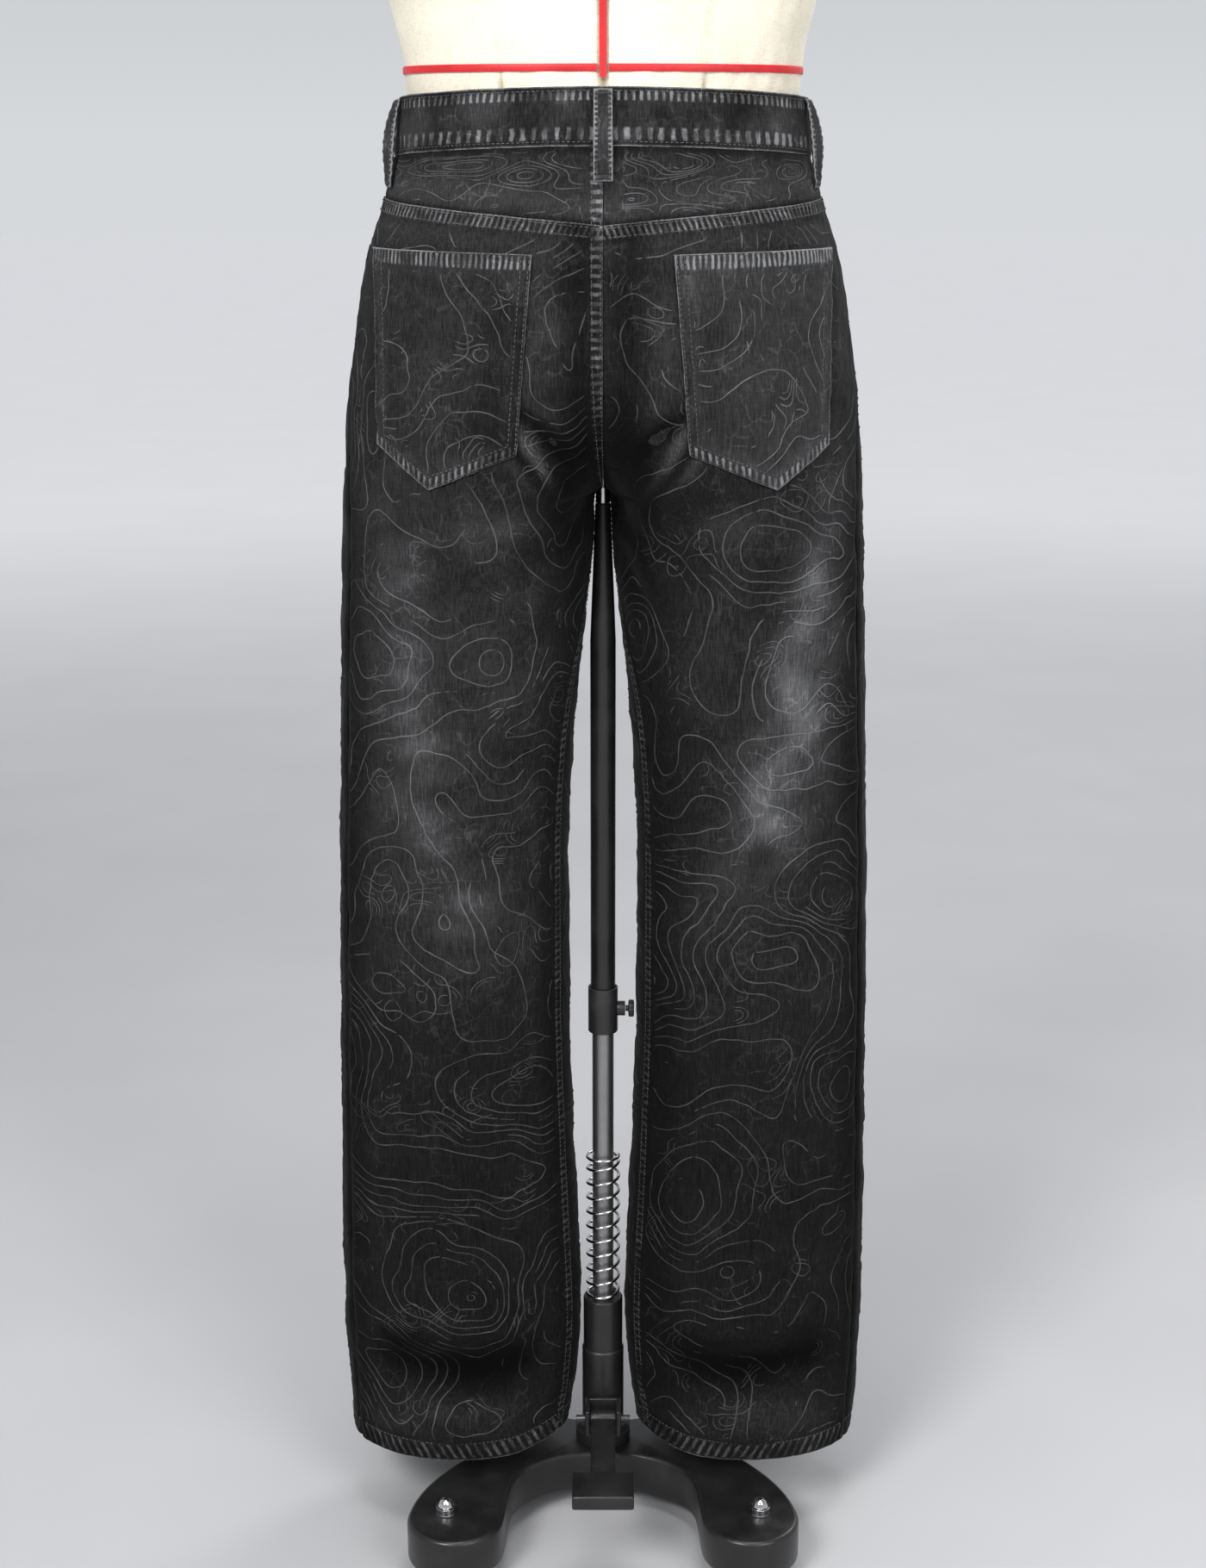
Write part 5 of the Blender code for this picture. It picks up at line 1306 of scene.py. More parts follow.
def pocket_facing(name, side):
    """The cloth seen inside the curved opening of a front pocket."""
    cloth = CLOTHS[side]
    place = across_grid(0.5 + EDGE_INSET, 0.5 + SCOOP_SHARE * 1.12, *FACING_GRID)
    high = band_bottom(place) - 2 * SEAM_GAP
    low = np.minimum(scoop_line(place) - 0.016, high - 0.018)
    height = high + (low - high) * down_shares(len(place))
    out = -DENIM - LAID_ON * 0.5 + 0.00015 * wander(cloth.around(place, height), height, 9, 0.012, 0.04)
    outer, inner = cloth.at(place, height, out), cloth.at(place, height, -2 * DENIM - LAID_ON)
    # Painted shade under the waistband.
    numbers = {"painted_shade": 0.25 * hump(height - high, 0.0, 0.01)}
    piece = denim_piece(f"pocket_facing_{name}", outer, inner, side, numbers)
    along, down = path_of(outer)
    line = np.linspace(0.503, 0.5 + SCOOP_SHARE * 0.985, 160)
    for off in SCOOP_ROWS:
        sew_on("front_stitches", cloth, line, scoop_line(line) - off, 0.0005)


def ring_place(distance):
    """Places at distances round the waist from the centre back."""
    away = np.abs(distance)
    behind = CLOTHS[1].length(WAIST_HEIGHT, "back")
    before = CLOTHS[1].length(WAIST_HEIGHT, "front")
    return np.where(away < behind, 0.5 * away / behind, 0.5 + 0.5 * (away - behind) / before)


def ring_points(distance, height, out):
    """Points of the waist by their distance from the centre back, positive to the wearer's right."""
    distance, height, out = np.broadcast_arrays(distance, height, out)
    place = ring_place(distance)
    side = np.where(distance >= 0, 1, -1) * np.where(place <= 1.0, 1, -1)
    place = np.where(place <= 1.0, place, 2.0 - place)
    both = {s: CLOTHS[s].at(place, height, out) for s in (-1, 1)}
    return np.where((side > 0)[..., None], both[1], both[-1])


def waistband():
    cloth = CLOTHS[1]
    half = float(cloth.length(WAIST_HEIGHT, "back") + cloth.length(WAIST_HEIGHT, "front"))
    rows, columns = BAND_GRID
    distance = across_grid(-half - BAND_OVERLAP, half + BAND_OVERLAP, rows, columns)
    place = np.minimum(ring_place(distance), 1.0)
    low, top = band_bottom(place), band_top(place)
    height = low + (top - low) * down_shares(rows)[::-1]
    off_top, off_low = top - height, height - low
    off_edge = np.minimum.reduce((off_top, off_low, half + BAND_OVERLAP - np.abs(distance)))
    lap = (BAND_WALL + 0.0006) * smoothstep(half - 0.055, half - 0.024, -distance)
    out = BAND_PROUD + lap - 0.0009 * smoothstep(0.0018, 0.0, off_edge)
    out -= 0.0003 * (hump(off_top, 0.0030, 0.0008) + hump(off_low, 0.0030, 0.0008))
    out += 0.00022 * wave(distance / BAND_TOP_PITCH) * hump(off_top, 0.006, 0.004)
    out += 0.00025 * wave(distance / BAND_LOW_PITCH) * hump(off_low, 0.008, 0.005)
    out += 0.00022 * wander(distance, height, 51, 0.010, 0.030)
    out += 0.00035 * wander(distance, height, 52, 0.04, 0.09)
    numbers = {
        "wash_and_highlight": 0.18 + 0.15 * wander(distance, height, 53, 0.02, 0.07),
        # Painted shade in the grooves along the rows of stitches.
        "painted_shade": 0.35 * hump(off_top, 0.0030, 0.0010) + 0.35 * hump(off_low, 0.0030, 0.0010),
        "rung_a": distance / BAND_TOP_PITCH,
        "band_a": (off_top - 0.002) / BAND_TOP_WIDTH,
        "rung_b": distance / BAND_LOW_PITCH,
        "band_b": (off_low - 0.003) / BAND_LOW_WIDTH,
        "edge": off_edge + 0.0002,
    }
    outer = ring_points(distance, height, out)
    inner = ring_points(distance, height, BAND_PROUD + lap - BAND_WALL)
    piece = denim_piece("waistband", outer, inner, 1, numbers)
    normals = grid_normals(outer, 1)
    for row in (2.4, rows - 3.4):
        sew_along("waist_stitches", outer, normals, row, np.linspace(2, columns - 3, 900), sunk=0.0001)


def belt_loop(name, distance, twist=0.0):
    """A strip of folded denim that stands off the band between two bar tacks."""
    rows, columns = LOOP_GRID
    top = float(band_top(np.minimum(ring_place(distance), 1.0))) - 0.002
    share = down_shares(rows)
    across = across_grid(-LOOP_WIDTH / 2, LOOP_WIDTH / 2, rows, columns)
    height = np.broadcast_to(top - LOOP_LENGTH * share, across.shape)
    on_band = smoothstep(BAND_BOTTOM_FRONT - 0.006, BAND_BOTTOM_FRONT + 0.008, height)
    bulge = LOOP_BULGE * np.sin(math.pi * np.clip(share, 0.0001, 0.9999)) ** 0.7
    off_side = LOOP_WIDTH / 2 - np.abs(across)
    off_edge = np.minimum(off_side, LOOP_LENGTH * np.minimum(share, 1 - share))
    turn = twist * np.sin(math.pi * share) * across * math.copysign(1.0, distance)
    base = LOOP_SEAT + DENIM + BAND_PROUD * on_band + bulge + turn
    out = base - 0.0007 * smoothstep(0.0013, 0.0, off_edge) - 0.00025 * hump(off_side, 0.0024, 0.0007)
    out += 0.00030 * np.sin(2 * math.pi * share * 9 + np.sign(across)) * hump(off_side, 0.0, 0.0025)
    numbers = {
        "wash_and_highlight": 0.25 + 0.35 * hump(share, 0.5, 0.28),
        "edge": off_edge,
        "rung_a": height / LOOP_EDGE_PITCH,
        "band_a": off_side / LOOP_EDGE_WIDTH,
    }
    outer = ring_points(distance + across, height, out)
    piece = denim_piece(name, outer, ring_points(distance + across, height, base - DENIM), 1, numbers)
    normals = grid_normals(outer, 1)
    down, over = np.linspace(1, rows - 2, 60), np.linspace(2, columns - 3, 30)
    for column in (3.0, columns - 4.0):
        sew_along("waist_stitches", outer, normals, down, column, pitch=0.0030, length=0.0024)
    for row in (2.5, 3.6, rows - 4.6, rows - 3.5):
        sew_along("waist_stitches", outer, normals, row, over, pitch=0.0016, length=0.0016)


def fly_placket():
    cloth = CLOTHS[-1]
    rows, columns = FLY_GRID
    share = down_shares(rows)
    width = FLY_WIDTH * (1.0 - smoothstep(0.72, 1.0, share) * 0.75)
    inward = width + (0.0006 - width) * across_grid(0.0, 1.0, rows, columns)
    height = np.broadcast_to(BAND_BOTTOM_FRONT - 0.001 - FLY_LENGTH * share, inward.shape)
    place = 1.0 - inward / (2 * cloth.length(height, "front"))
    off_edge = np.minimum(np.minimum(inward, width - inward), FLY_LENGTH * np.minimum(share, 1 - share))
    out = 0.00025 * wander(inward, height, 61, 0.010, 0.035) - 0.0007 * smoothstep(0.0014, 0.0, off_edge)
    numbers = {
        "edge": off_edge + 0.0002,
        "wash_and_highlight": 0.15 + 0.3 * hump(inward, 0.006, 0.006),
        "rung_a": height / FLY_EDGE_PITCH,
        "band_a": (width - inward) / FLY_EDGE_WIDTH,
    }
    outer = cloth.at(place, height, LAID_ON + DENIM - 0.0004 + out)
    piece = denim_piece("fly_placket", outer, cloth.at(place, height, LAID_ON - 0.0004), -1, numbers)
    normals = grid_normals(outer, -1)
    for column in (1.5, 6.0):
        sew_along("front_stitches", outer, normals, np.linspace(2, rows - 4, 200), column)


def hem_stitches(side):
    place = np.linspace(0.004, 0.996, 700)
    sew_on("hem_stitches", CLOTHS[side], place, hem_height(place) + HEM_STITCH, -0.0004, radius=0.00042)


def seam_stitches(side):
    """Rows down the felled bands of the centre back, on the left half, and of both inseams."""
    cloth = CLOTHS[side]
    seat = np.linspace(1.112, CROTCH_HEIGHT + 0.004, 200)
    inseam = np.linspace(CROTCH_HEIGHT - 0.004, 0.078, 500)
    for off in FELL_ROWS:
        for height in (seat, inseam) if side < 0 else (inseam,):
            sew_on("seat_stitches", cloth, 0.5 * off / cloth.length(height, "back"), height, 0.0008)


# The form and its stand


def lathe(name, profile, look, nodes, body="base", soft=0.0006, steps=72, hollow=False, matrix=Matrix()):
    """A shape turned about Z from rows of radius and height, its corners rounded, then placed by a matrix."""
    rings, points, faces = [], [], []
    for radius, height in rounded(profile, soft):
        count = 1 if radius < 1e-6 else steps
        rings.append(range(len(points), len(points) + count))
        for k in range(count):
            angle = 2 * math.pi * k / steps
            points.append((radius * math.cos(angle), radius * math.sin(angle), height))
    for high, low in zip(rings, rings[1:] + rings[:1] if hollow else rings[1:]):
        if len(high) + len(low) > 2:
            for k in range(steps):
                m = (k + 1) % steps
                corners = high[k % len(high)], low[k % len(low)], low[m % len(low)], high[m % len(high)]
                faces.append(tuple(dict.fromkeys(corners)))
    mesh = mesh_of(name, points, faces)
    mesh.transform(matrix)
    return place_piece(name, mesh, look, body, nodes)


def rounded(profile, radius, steps=3):
    """A profile with its corners rounded, apart from those on the axis and at its ends."""
    made = [profile[0]]
    for before, here, after in zip(profile, profile[1:], profile[2:]):
        here, before, after = (np.array(p, float) for p in (here, before, after))
        a, b = before - here, after - here
        reach = min(radius, np.hypot(*a) * 0.4, np.hypot(*b) * 0.4)
        if here[0] < 1e-6 or reach < 1e-6:
            made.append(tuple(here))
            continue
        start, end = here + a / np.hypot(*a) * reach, here + b / np.hypot(*b) * reach
        for t in np.linspace(0.0, 1.0, steps + 1):
            made.append(tuple(start * (1 - t) ** 2 + here * 2 * t * (1 - t) + end * t * t))
    return made + [profile[-1]]


def along_x(y=0.0, z=0.0):
    """Turns a shape's axis from Z to X, and moves it."""
    return Matrix.Translation((0.0, y, z)) @ Matrix.Rotation(math.pi / 2, 4, "Y")


def torso_form():
    """The stuffed form, with seams pressed in at the middle, the sides and between."""
    bowl = FORM_BOTTOM + np.linspace(0.0, 1.0, 30)[1:] ** 1.6 * (BUSTS[0].height - FORM_BOTTOM)
    heights = np.concatenate([bowl, np.linspace(BUSTS[0].height, BUSTS[-1].height, 180)[1:]])
    angles = np.linspace(0.0, 2 * math.pi, 260, endpoint=False)
    share = np.clip((heights - FORM_BOTTOM) / (BUSTS[0].height - FORM_BOTTOM), 0.0, 1.0)
    size = np.maximum((1.0 - (1.0 - share) ** 1.8) ** 0.5, 0.12)[:, None]
    outer, back, front = (read(BUSTS, name, heights)[:, None] * size for name in ("outer", "back", "front"))
    x, y = oval(angles[None, :], outer, back, front, TORSO_SQUARE)
    z = np.broadcast_to(heights[:, None], x.shape)
    inward = 0.0011 * hump(y, 0.004, 0.0016) + 0.00035 * wander(x * 1.2 + y, z, 81, 0.02, 0.09)
    # Painted shade along the pressed seams.
    painted_shade = 0.7 * hump(y, 0.004, 0.0009)
    for sign in (-1, 1):
        for across in (0.0, sign * (FORM_DART + 0.012 * np.sin((z - 1.16) * 9.0))):
            inward += 0.0011 * hump(x, across, 0.0016) + 0.0006 * hump(x, across, 0.006)
            painted_shade += 0.8 * hump(x, across, 0.0009)
    length = np.maximum(np.hypot(x, y), 1e-6)
    points = np.stack([x - x / length * inward, y - y / length * inward, z], axis=2).reshape(-1, 3)
    count = len(angles)
    caps = [tuple(range(count - 1, -1, -1)), tuple(range(len(points) - count, len(points)))]
    faces = tube_quads(len(heights), count) + caps
    mesh = mesh_of("form_cover", points, faces, {"painted_shade": np.clip(painted_shade, 0, 1)})
    piece = place_piece("form_cover", mesh, CANVAS, nodes=["torso_form"], sharp=60)
    return piece


def form_points(angle, height, out=0.0):
    """Points on the form's cover, moved out by a distance."""
    outer, back, front = (read(BUSTS, name, height) for name in ("outer", "back", "front"))
    x, y = oval(angle, outer, back, front, TORSO_SQUARE)
    length = np.hypot(x, y)
    return np.stack(np.broadcast_arrays(x + x / length * out, y + y / length * out, height), axis=-1)


def tape(name, cover, centre, up):
    """A flat cotton tape sewn on the form's cover: its middle line, and the direction across it."""
    shares = np.linspace(-1.0, 1.0, 5)
    lines = [(share, TAPE_LIFT - 0.0004 * share**4) for share in shares]
    lines += [(share, lift - TAPE_WALL) for share, lift in reversed(lines)]
    normal = unit(centre * [1.0, 1.0, 0.0])
    across = up * TAPE_HALF_WIDTH
    points = np.stack([centre + across * share + normal * lift for share, lift in lines], axis=1)
    count, ring = points.shape[:2]
    ends = [tuple(range(ring)), tuple(range((count - 1) * ring, count * ring))]
    mesh = mesh_of(name, points.reshape(-1, 3), tube_quads(count, ring) + ends)
    bm = bmesh.new()
    bm.from_mesh(mesh)
    bmesh.ops.recalc_face_normals(bm, faces=bm.faces)
    bm.to_mesh(mesh)
    bm.free()
    obj = add_object(name, mesh, TAPE)
    mesh.shade_smooth()
    mesh.set_sharp_from_angle(angle=math.radians(60))
    obj.parent = cover


def tapes(cover):
    angles = np.linspace(0.02, 2 * math.pi - 0.02, 240) - math.pi / 2
    tape("waist_tape", cover, form_points(angles, np.full(240, WAIST_TAPE_HEIGHT)), np.array([0.0, 0.0, 1.0]))
    heights = np.linspace(1.162, 1.600, 160)
    for name, angle in (("back_tape", -math.pi / 2), ("front_tape", math.pi / 2)):
        tape(name, cover, form_points(np.full(160, angle), heights, 0.0009), np.array([1.0, 0.0, 0.0]))


def spring():
    """The coil, with its first and last turns drawn close."""
    turns = np.linspace(0.0, SPRING_TURNS, int(SPRING_TURNS * 64) + 1)
    flat, angle = SPRING_FLAT, 2 * math.pi * turns
    middle = np.clip((turns - flat) / (SPRING_TURNS - 2 * flat), 0.0, 1.0)
    close = SPRING_CLOSE * (np.minimum(turns, flat) - np.minimum(SPRING_TURNS - turns, flat) + flat)
    height = SPRING_LOW + close + (SPRING_HIGH - SPRING_LOW - SPRING_CLOSE * 2 * flat) * middle
    curve = bpy.data.curves.new("spring_wire", "CURVE")
    curve.dimensions = "3D"
    curve.bevel_depth = SPRING_WIRE
    curve.bevel_resolution = 3
    curve.use_fill_caps = True
    line = curve.splines.new("POLY")
    line.points.add(len(turns) - 1)
    rows = SPRING_RADIUS * np.cos(angle), SPRING_RADIUS * np.sin(angle), height, np.ones(len(turns))
    line.points.foreach_set("co", np.stack(rows, axis=1).ravel())
    obj = add_object("spring_wire", curve, CHROME)
    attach(obj, "base")
    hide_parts("coil_spring")


def foot_cross():
    """The cast base, with rounded upper edges."""
    bend, end = np.array(ARM_BEND), np.array(FOOT_END)

    def edge(turn, shares):
        points = []
        for t in shares:
            middle = 2 * t * (1 - t) * bend + t * t * end
            along = unit(2 * (1 - t) * bend + 2 * t * (end - bend))
            half = ARM_HALF_WIDTH + (FOOT_END_RADIUS - ARM_HALF_WIDTH) * smoothstep(0.55, 1.0, t)
            points.append(middle + turn * half * np.array([-along[1], along[0]]))
        return points

    facing = math.atan2(*(end - bend)[::-1])
    arc = facing + np.linspace(math.pi / 2, -math.pi / 2, 41)[1:-1]
    cap = [end + FOOT_END_RADIUS * np.array([math.cos(a), math.sin(a)]) for a in arc]
    sides = edge(1, np.linspace(0.0, 1.0, 33)), edge(-1, np.linspace(1.0, 0.42, 21))
    quarter = np.maximum(np.array(sides[0] + cap + sides[1]), 0.0)
    quarter[0, 0] = quarter[-1, 1] = 0.0
    around = [quarter, (quarter * [1, -1])[::-1][1:]]
    around += [(quarter * [-1, -1])[1:], (quarter * [-1, 1])[::-1][1:-1]]
    bm = bmesh.new()
    face = bm.faces.new([bm.verts.new((x, y, FOOT_LOW)) for x, y in np.concatenate(around)])
    raised = bmesh.ops.extrude_face_region(bm, geom=[face])["geom"]
    lifted = [item for item in raised if isinstance(item, bmesh.types.BMVert)]
    bmesh.ops.translate(bm, vec=(0.0, 0.0, FOOT_HIGH - FOOT_LOW), verts=lifted)
    bmesh.ops.recalc_face_normals(bm, faces=bm.faces)
    rims = [e for e in bm.edges if abs(e.verts[0].co.z - e.verts[1].co.z) < 1e-6]
    bmesh.ops.bevel(bm, geom=rims, offset=0.004, segments=4, profile=0.5, affect="EDGES")
    finish_solid("cast_arms", bm, CASTING, ["foot_cross"])


def finish_solid(name, bm, look, nodes, body="base"):
    mesh = bpy.data.meshes.new(name)
    bm.to_mesh(mesh)
    bm.free()
    place_piece(name, mesh, look, body, nodes, sharp=50)


def smooth_box(name, low, high, nodes=(), body="base", edge=0.0012):
    """A painted box with rounded edges."""
    bm = bmesh.new()
    bmesh.ops.create_cube(bm, size=1.0)
    for vert in bm.verts:
        vert.co = [(a + b) / 2 + c * (b - a) for a, b, c in zip(low, high, vert.co)]
    bmesh.ops.bevel(bm, geom=bm.edges[:], offset=edge, segments=3, profile=0.5, affect="EDGES")
    finish_solid(name, bm, PAINT, nodes, body)


# Profiles of the turned parts: rows of radius and height
NECK = (
    (0.0, 0.0450), (0.006, 0.0446), (0.0112, 0.0420), (0.0138, 0.0375), (0.0135, 0.0325), (0.0112, 0.0275),
    (0.0092, 0.0240), (0.0094, 0.0210), (0.0118, 0.0175), (0.0180, 0.0150), (0.0320, 0.0128),
    (0.0480, 0.0104), (0.0545, 0.0070), (0.0560, 0.0040), (0.0555, 0.0010), (0.0550, 0.0), (0.0, 0.0),
)
BOSS = ((0.0, 0.0180), (0.006, 0.0180), (0.006, 0.0112), (0.0, 0.0112))
SCREW = (
    (0.0, 0.0252), (0.0058, 0.0252), (0.0070, 0.0246), (0.0070, 0.0212), (0.0058, 0.0206),
    (0.0024, 0.0204), (0.0024, 0.0183), (0.0, 0.0183),
)
CAP_NUT = (
    (0.0, 0.0125), (0.0020, 0.0122), (0.0036, 0.0113), (0.0050, 0.0094), (0.0058, 0.0072), (0.0062, 0.0062),
    (0.0080, 0.0058), (0.0080, 0.0012), (0.0084, 0.0), (0.0, 0.0),
)
GLIDE = ((0.0, FOOT_LOW - SEAM_GAP), (0.017, FOOT_LOW - SEAM_GAP), (0.017, 0.002), (0.015, 0.0), (0.0, 0.0))
PEDAL_PIN = ((0.0, 0.0225), (0.0030, 0.0225), (0.0030, -0.0225), (0.0, -0.0225))
SLEEVE = ((0.0033, 0.0105), (0.0065, 0.0105), (0.0065, -0.0105), (0.0033, -0.0105))
BUTTON = (
    (0.0, 0.0034), (0.0030, 0.0034), (0.0042, 0.0031), (0.0052, 0.0034), (0.0060, 0.0040), (0.0074, 0.0038),
    (0.0084, 0.0028), (0.0085, 0.0020), (0.0030, 0.0016), (0.0030, 0.0), (0.0, 0.0),
)


def at_height(profile, height):
    return [(radius, z + height) for radius, z in profile]


def pole():
    """The neck cap, the form's pin, the sliding black pole and its clamp."""
    gap, top, inside = SEAM_GAP, FORM_BOTTOM - SEAM_GAP, POLE_TAPER - 0.010
    lathe("neck_disc", at_height(NECK, BUSTS[-1].height + gap), PLASTIC, ["neck_cap"], "carriage")
    pin = [(0.0, top), (0.018, top), (0.018, top - 0.004), (SPIGOT_RADIUS, top - 0.006)]
    pin += [(SPIGOT_RADIUS, POLE_TOP + gap), (0.0, POLE_TOP + gap)]
    lathe("form_pin", pin, CHROME, ["spigot"], "carriage")
    tube = [(0.0, POLE_TOP), (POLE_TIP_RADIUS, POLE_TOP), (POLE_RADIUS, POLE_TAPER)]
    tube += [(POLE_RADIUS, POLE_BOTTOM), (POLE_BORE, POLE_BOTTOM), (POLE_BORE, inside), (0.0, inside)]
    lathe("black_pole", tube, PAINT, ["upper_tube"], "carriage", 0.0004)
    low, hold = POLE_BOTTOM - gap, POLE_RADIUS + gap
    collar = [(POLE_BORE, low), (hold, low), (hold, COLLAR_HIGH), (COLLAR_RADIUS, COLLAR_HIGH)]
    collar += [(COLLAR_RADIUS, COLLAR_LOW), (POLE_BORE, COLLAR_LOW)]
    lathe("clamp_ring", collar, PLASTIC, ["clamp_collar"], "carriage", hollow=True)
    sideways = along_x(z=SCREW_HEIGHT)
    lathe("clamp_boss", BOSS, PLASTIC, [], "carriage", matrix=sideways)
    knob = lathe("knob", SCREW, PLASTIC, ["thumbscrew"], "clamp_screw", 0.0004, 64, matrix=sideways)
    for vert in knob.data.vertices:
        y, z = vert.co.y, vert.co.z - SCREW_HEIGHT
        if math.hypot(y, z) > 0.0052:
            ridge = 1.0 - 0.035 * (1 + math.sin(16 * math.atan2(z, y)))
            vert.co.y, vert.co.z = y * ridge, SCREW_HEIGHT + z * ridge


def base():
    """The steel tube in its socket, the spring round it, and the cast foot with its nuts and glides."""
    gap, bore, bottom = SEAM_GAP, LOWER_TUBE_RADIUS + SEAM_GAP, LOWER_TUBE_BOTTOM
    tube = [(0.0070, LOWER_TUBE_TOP), (LOWER_TUBE_RADIUS, LOWER_TUBE_TOP)]
    tube += [(LOWER_TUBE_RADIUS, bottom), (0.0070, bottom)]
    lathe("steel_tube", tube, STEEL, ["lower_tube"], soft=0.0004, hollow=True)
    socket = [(bore, SOCKET_TOP), (0.0158, SOCKET_TOP), (0.0164, SOCKET_TOP - 0.001), (0.0164, SOCKET_STEP)]
    socket += [(0.0175, SOCKET_STEP - 0.001), (0.0175, 0.068), (0.0190, 0.0645), (0.0230, 0.062)]
    socket += [(0.0230, FOOT_HIGH + gap), (0.0, FOOT_HIGH + gap), (0.0, bottom - gap), (bore, bottom - gap)]
    lathe("socket_casting", socket, PAINT, ["pole_socket"], soft=0.0008, hollow=True)
    spring()
    foot_cross()
    for end, along in (("back", -1), ("front", 1)):
        for name, side in SIDES.items():
            which = f"{end}_{name}"
            spot = Matrix.Translation((side * FOOT_NUT[0], along * FOOT_NUT[1], FOOT_HIGH + gap))
            lathe(f"nut_{which}", CAP_NUT, CHROME, [f"cap_nut_{which}"], soft=0.0003, steps=48, matrix=spot)
            spot = Matrix.Translation((side * FOOT_END[0], along * FOOT_END[1], 0.0))
            lathe(f"glide_{which}", GLIDE, PLASTIC, [f"glide_foot_{which}"], steps=64, matrix=spot)


def pedal():
    """The bracket on the socket, its pin and the pedal."""
    near, far = -0.0178, PIN_Y - 0.009
    low, high = PIN_HEIGHT - 0.012, PIN_HEIGHT + 0.011
    corners = (-BRACKET_OUT, near - 0.004, low), (BRACKET_OUT, near, high)
    smooth_box("bracket_plate", *corners, ["pedal_bracket"])
    for name, sign in SIDES.items():
        inside, outside = sorted((sign * (BRACKET_OUT - 0.004), sign * BRACKET_OUT))
        smooth_box(f"bracket_{name}", (inside, far, low), (outside, near - 0.001, high))
    hinge = along_x(y=PIN_Y, z=PIN_HEIGHT)
    lathe("hinge_pin", PEDAL_PIN, DARK, ["pedal_pin"], soft=0.0005, steps=40, matrix=hinge)
    half, top = PEDAL_WIDTH / 2, PIN_HEIGHT + 0.004
    corners = (-half, PEDAL_FAR, top - PEDAL_THICK), (half, PEDAL_NEAR, top)
    smooth_box("tread", *corners, ["foot_pedal"], "pedal", 0.0018)
    corners = (-0.010, PEDAL_NEAR - 0.004, top - 0.009), (0.010, PIN_Y - 0.003, top - 0.001)
    smooth_box("tread_arm", *corners, body="pedal")
    lathe("tread_sleeve", SLEEVE, PAINT, [], "pedal", 0.0005, 48, hollow=True, matrix=hinge)


def waist_button():
    middle = (BAND_TOP_FRONT + BAND_BOTTOM_FRONT) / 2
    x, y, z = CLOTHS[-1].at(1.0, middle, BAND_PROUD + BAND_WALL + 0.0006)
    spot = Matrix.Translation((x + BAND_OVERLAP * 0.35, y + 0.0005, z))
    forwards = Matrix.Rotation(-math.pi / 2, 4, "X")
    lathe("shank_button", BUTTON, DARK, ["waist_button"], "carriage", 0.0003, matrix=spot @ forwards)


def jeans():
    for name, side in SIDES.items():
        seed = 300 if side < 0 else 700
        panel("back", name, side, seed)
        panel("front", name, side, seed + 50)
        yoke(name, side, seed + 100)
        back_pocket(name, side, seed + 150)
        pocket_facing(name, side)
        hem_stitches(side)
        seam_stitches(side)
    waistband()
    half = float(CLOTHS[1].length(WAIST_HEIGHT, "back"))
    belt_loop("belt_loop_back", 0.0)
    for name, side in SIDES.items():
        belt_loop(f"belt_loop_side_{name}", side * (half - SIDE_LOOP_BACK), LOOP_TWIST)
        belt_loop(f"belt_loop_front_{name}", side * (half + 0.150))
    fly_placket()
    waist_button()
    finish_stitches()


# Floor, light and camera


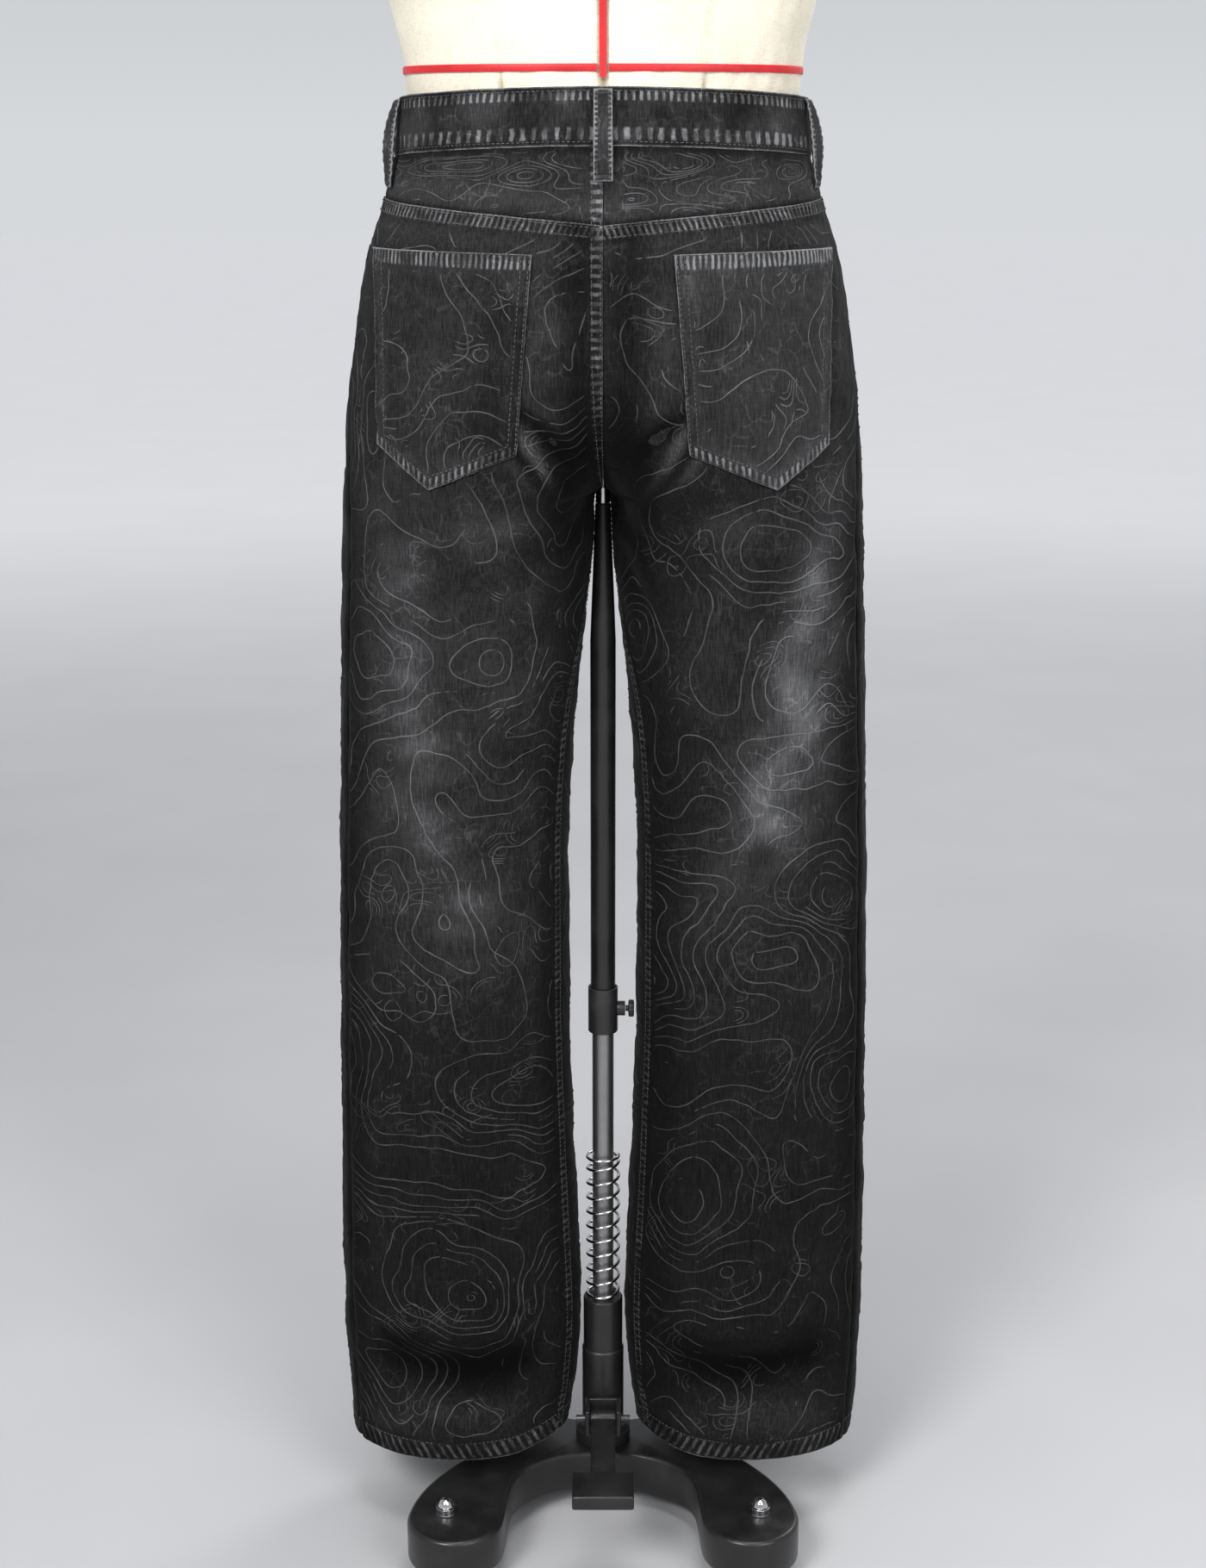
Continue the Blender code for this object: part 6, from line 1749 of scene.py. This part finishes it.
def floor():
    """A wide pale disc that glows away from the stand, to meet the world's horizon."""
    room = Shader("pale_floor")
    colour = room.ramp(room.noise(3.0), (0.3, (0.47, 0.47, 0.48)), (0.7, (0.50, 0.50, 0.51)))
    away = room.node("ShaderNodeVectorMath", operation="LENGTH")
    room.join(room.place(), away.inputs[0])
    room.join(room.step(away.outputs["Value"], 1.0, 6.0, 0.0, 0.50), room.base.inputs["Emission Strength"])
    room.base.inputs["Emission Color"].default_value = (0.95, 0.97, 1.0, 1.0)
    turns = np.linspace(0.0, 2 * math.pi, 96, endpoint=False)
    rim = FLOOR_RADIUS * np.stack([np.cos(turns), np.sin(turns), 0.0 * turns], axis=1)
    mesh = mesh_of("pale_floor", rim, [tuple(range(len(rim)))])
    disc = bpy.data.objects.new("pale_floor", mesh)
    mesh.materials.append(room.set(colour=colour, roughness=0.8, specular=0.2))
    mesh.shade_smooth()
    bpy.context.scene.collection.objects.link(disc)


def sky():
    """A world that is brightest at its horizon."""
    world = bpy.data.worlds.new("studio")
    bpy.context.scene.world = world
    world.use_nodes = True
    nodes, links = world.node_tree.nodes, world.node_tree.links
    back = nodes["Background"]
    back.inputs["Strength"].default_value = 0.42
    where, split = nodes.new("ShaderNodeTexCoord"), nodes.new("ShaderNodeSeparateXYZ")
    shade = nodes.new("ShaderNodeValToRGB")
    links.new(where.outputs["Generated"], split.inputs["Vector"])
    links.new(split.outputs["Z"], shade.inputs["Fac"])
    links.new(shade.outputs["Color"], back.inputs["Color"])
    low, high = shade.color_ramp.elements
    low.color = (1.60, 1.64, 1.70, 1.0)
    high.color = (0.90, 0.92, 0.97, 1.0)
    high.position = 0.30


def lights():
    for name, place, size, power in (
        ("key", (-1.3, -2.5, 2.7), 1.2, 84.0),
        ("fill", (1.5, -2.5, 2.1), 1.6, 42.0),
        ("top", (0.1, -0.4, 3.3), 1.2, 34.0),
        ("rim", (1.6, 2.0, 2.4), 1.2, 34.0),
    ):
        light = bpy.data.lights.new(name, "AREA")
        light.energy = power
        light.shape = "DISK"
        light.size = size
        lamp = bpy.data.objects.new(name, light)
        lamp.location = place
        lamp.rotation_euler = (Vector((0.0, 0.0, 0.8)) - Vector(place)).to_track_quat("-Z", "Y").to_euler()
        bpy.context.scene.collection.objects.link(lamp)


def camera():
    lens = bpy.data.cameras.new("camera")
    lens.lens = FOCAL_LENGTH
    lens.sensor_width = 36.0
    lens.clip_end = 40.0
    eye = bpy.data.objects.new("camera", lens)
    eye.location = CAMERA_PLACE
    eye.rotation_euler = (math.radians(90.0 - CAMERA_TILT), 0.0, 0.0)
    bpy.context.scene.collection.objects.link(eye)
    bpy.context.scene.camera = eye
    bpy.context.scene.view_settings.view_transform = "Standard"


tapes(torso_form())
pole()
base()
pedal()
jeans()
floor()
sky()
lights()
camera()
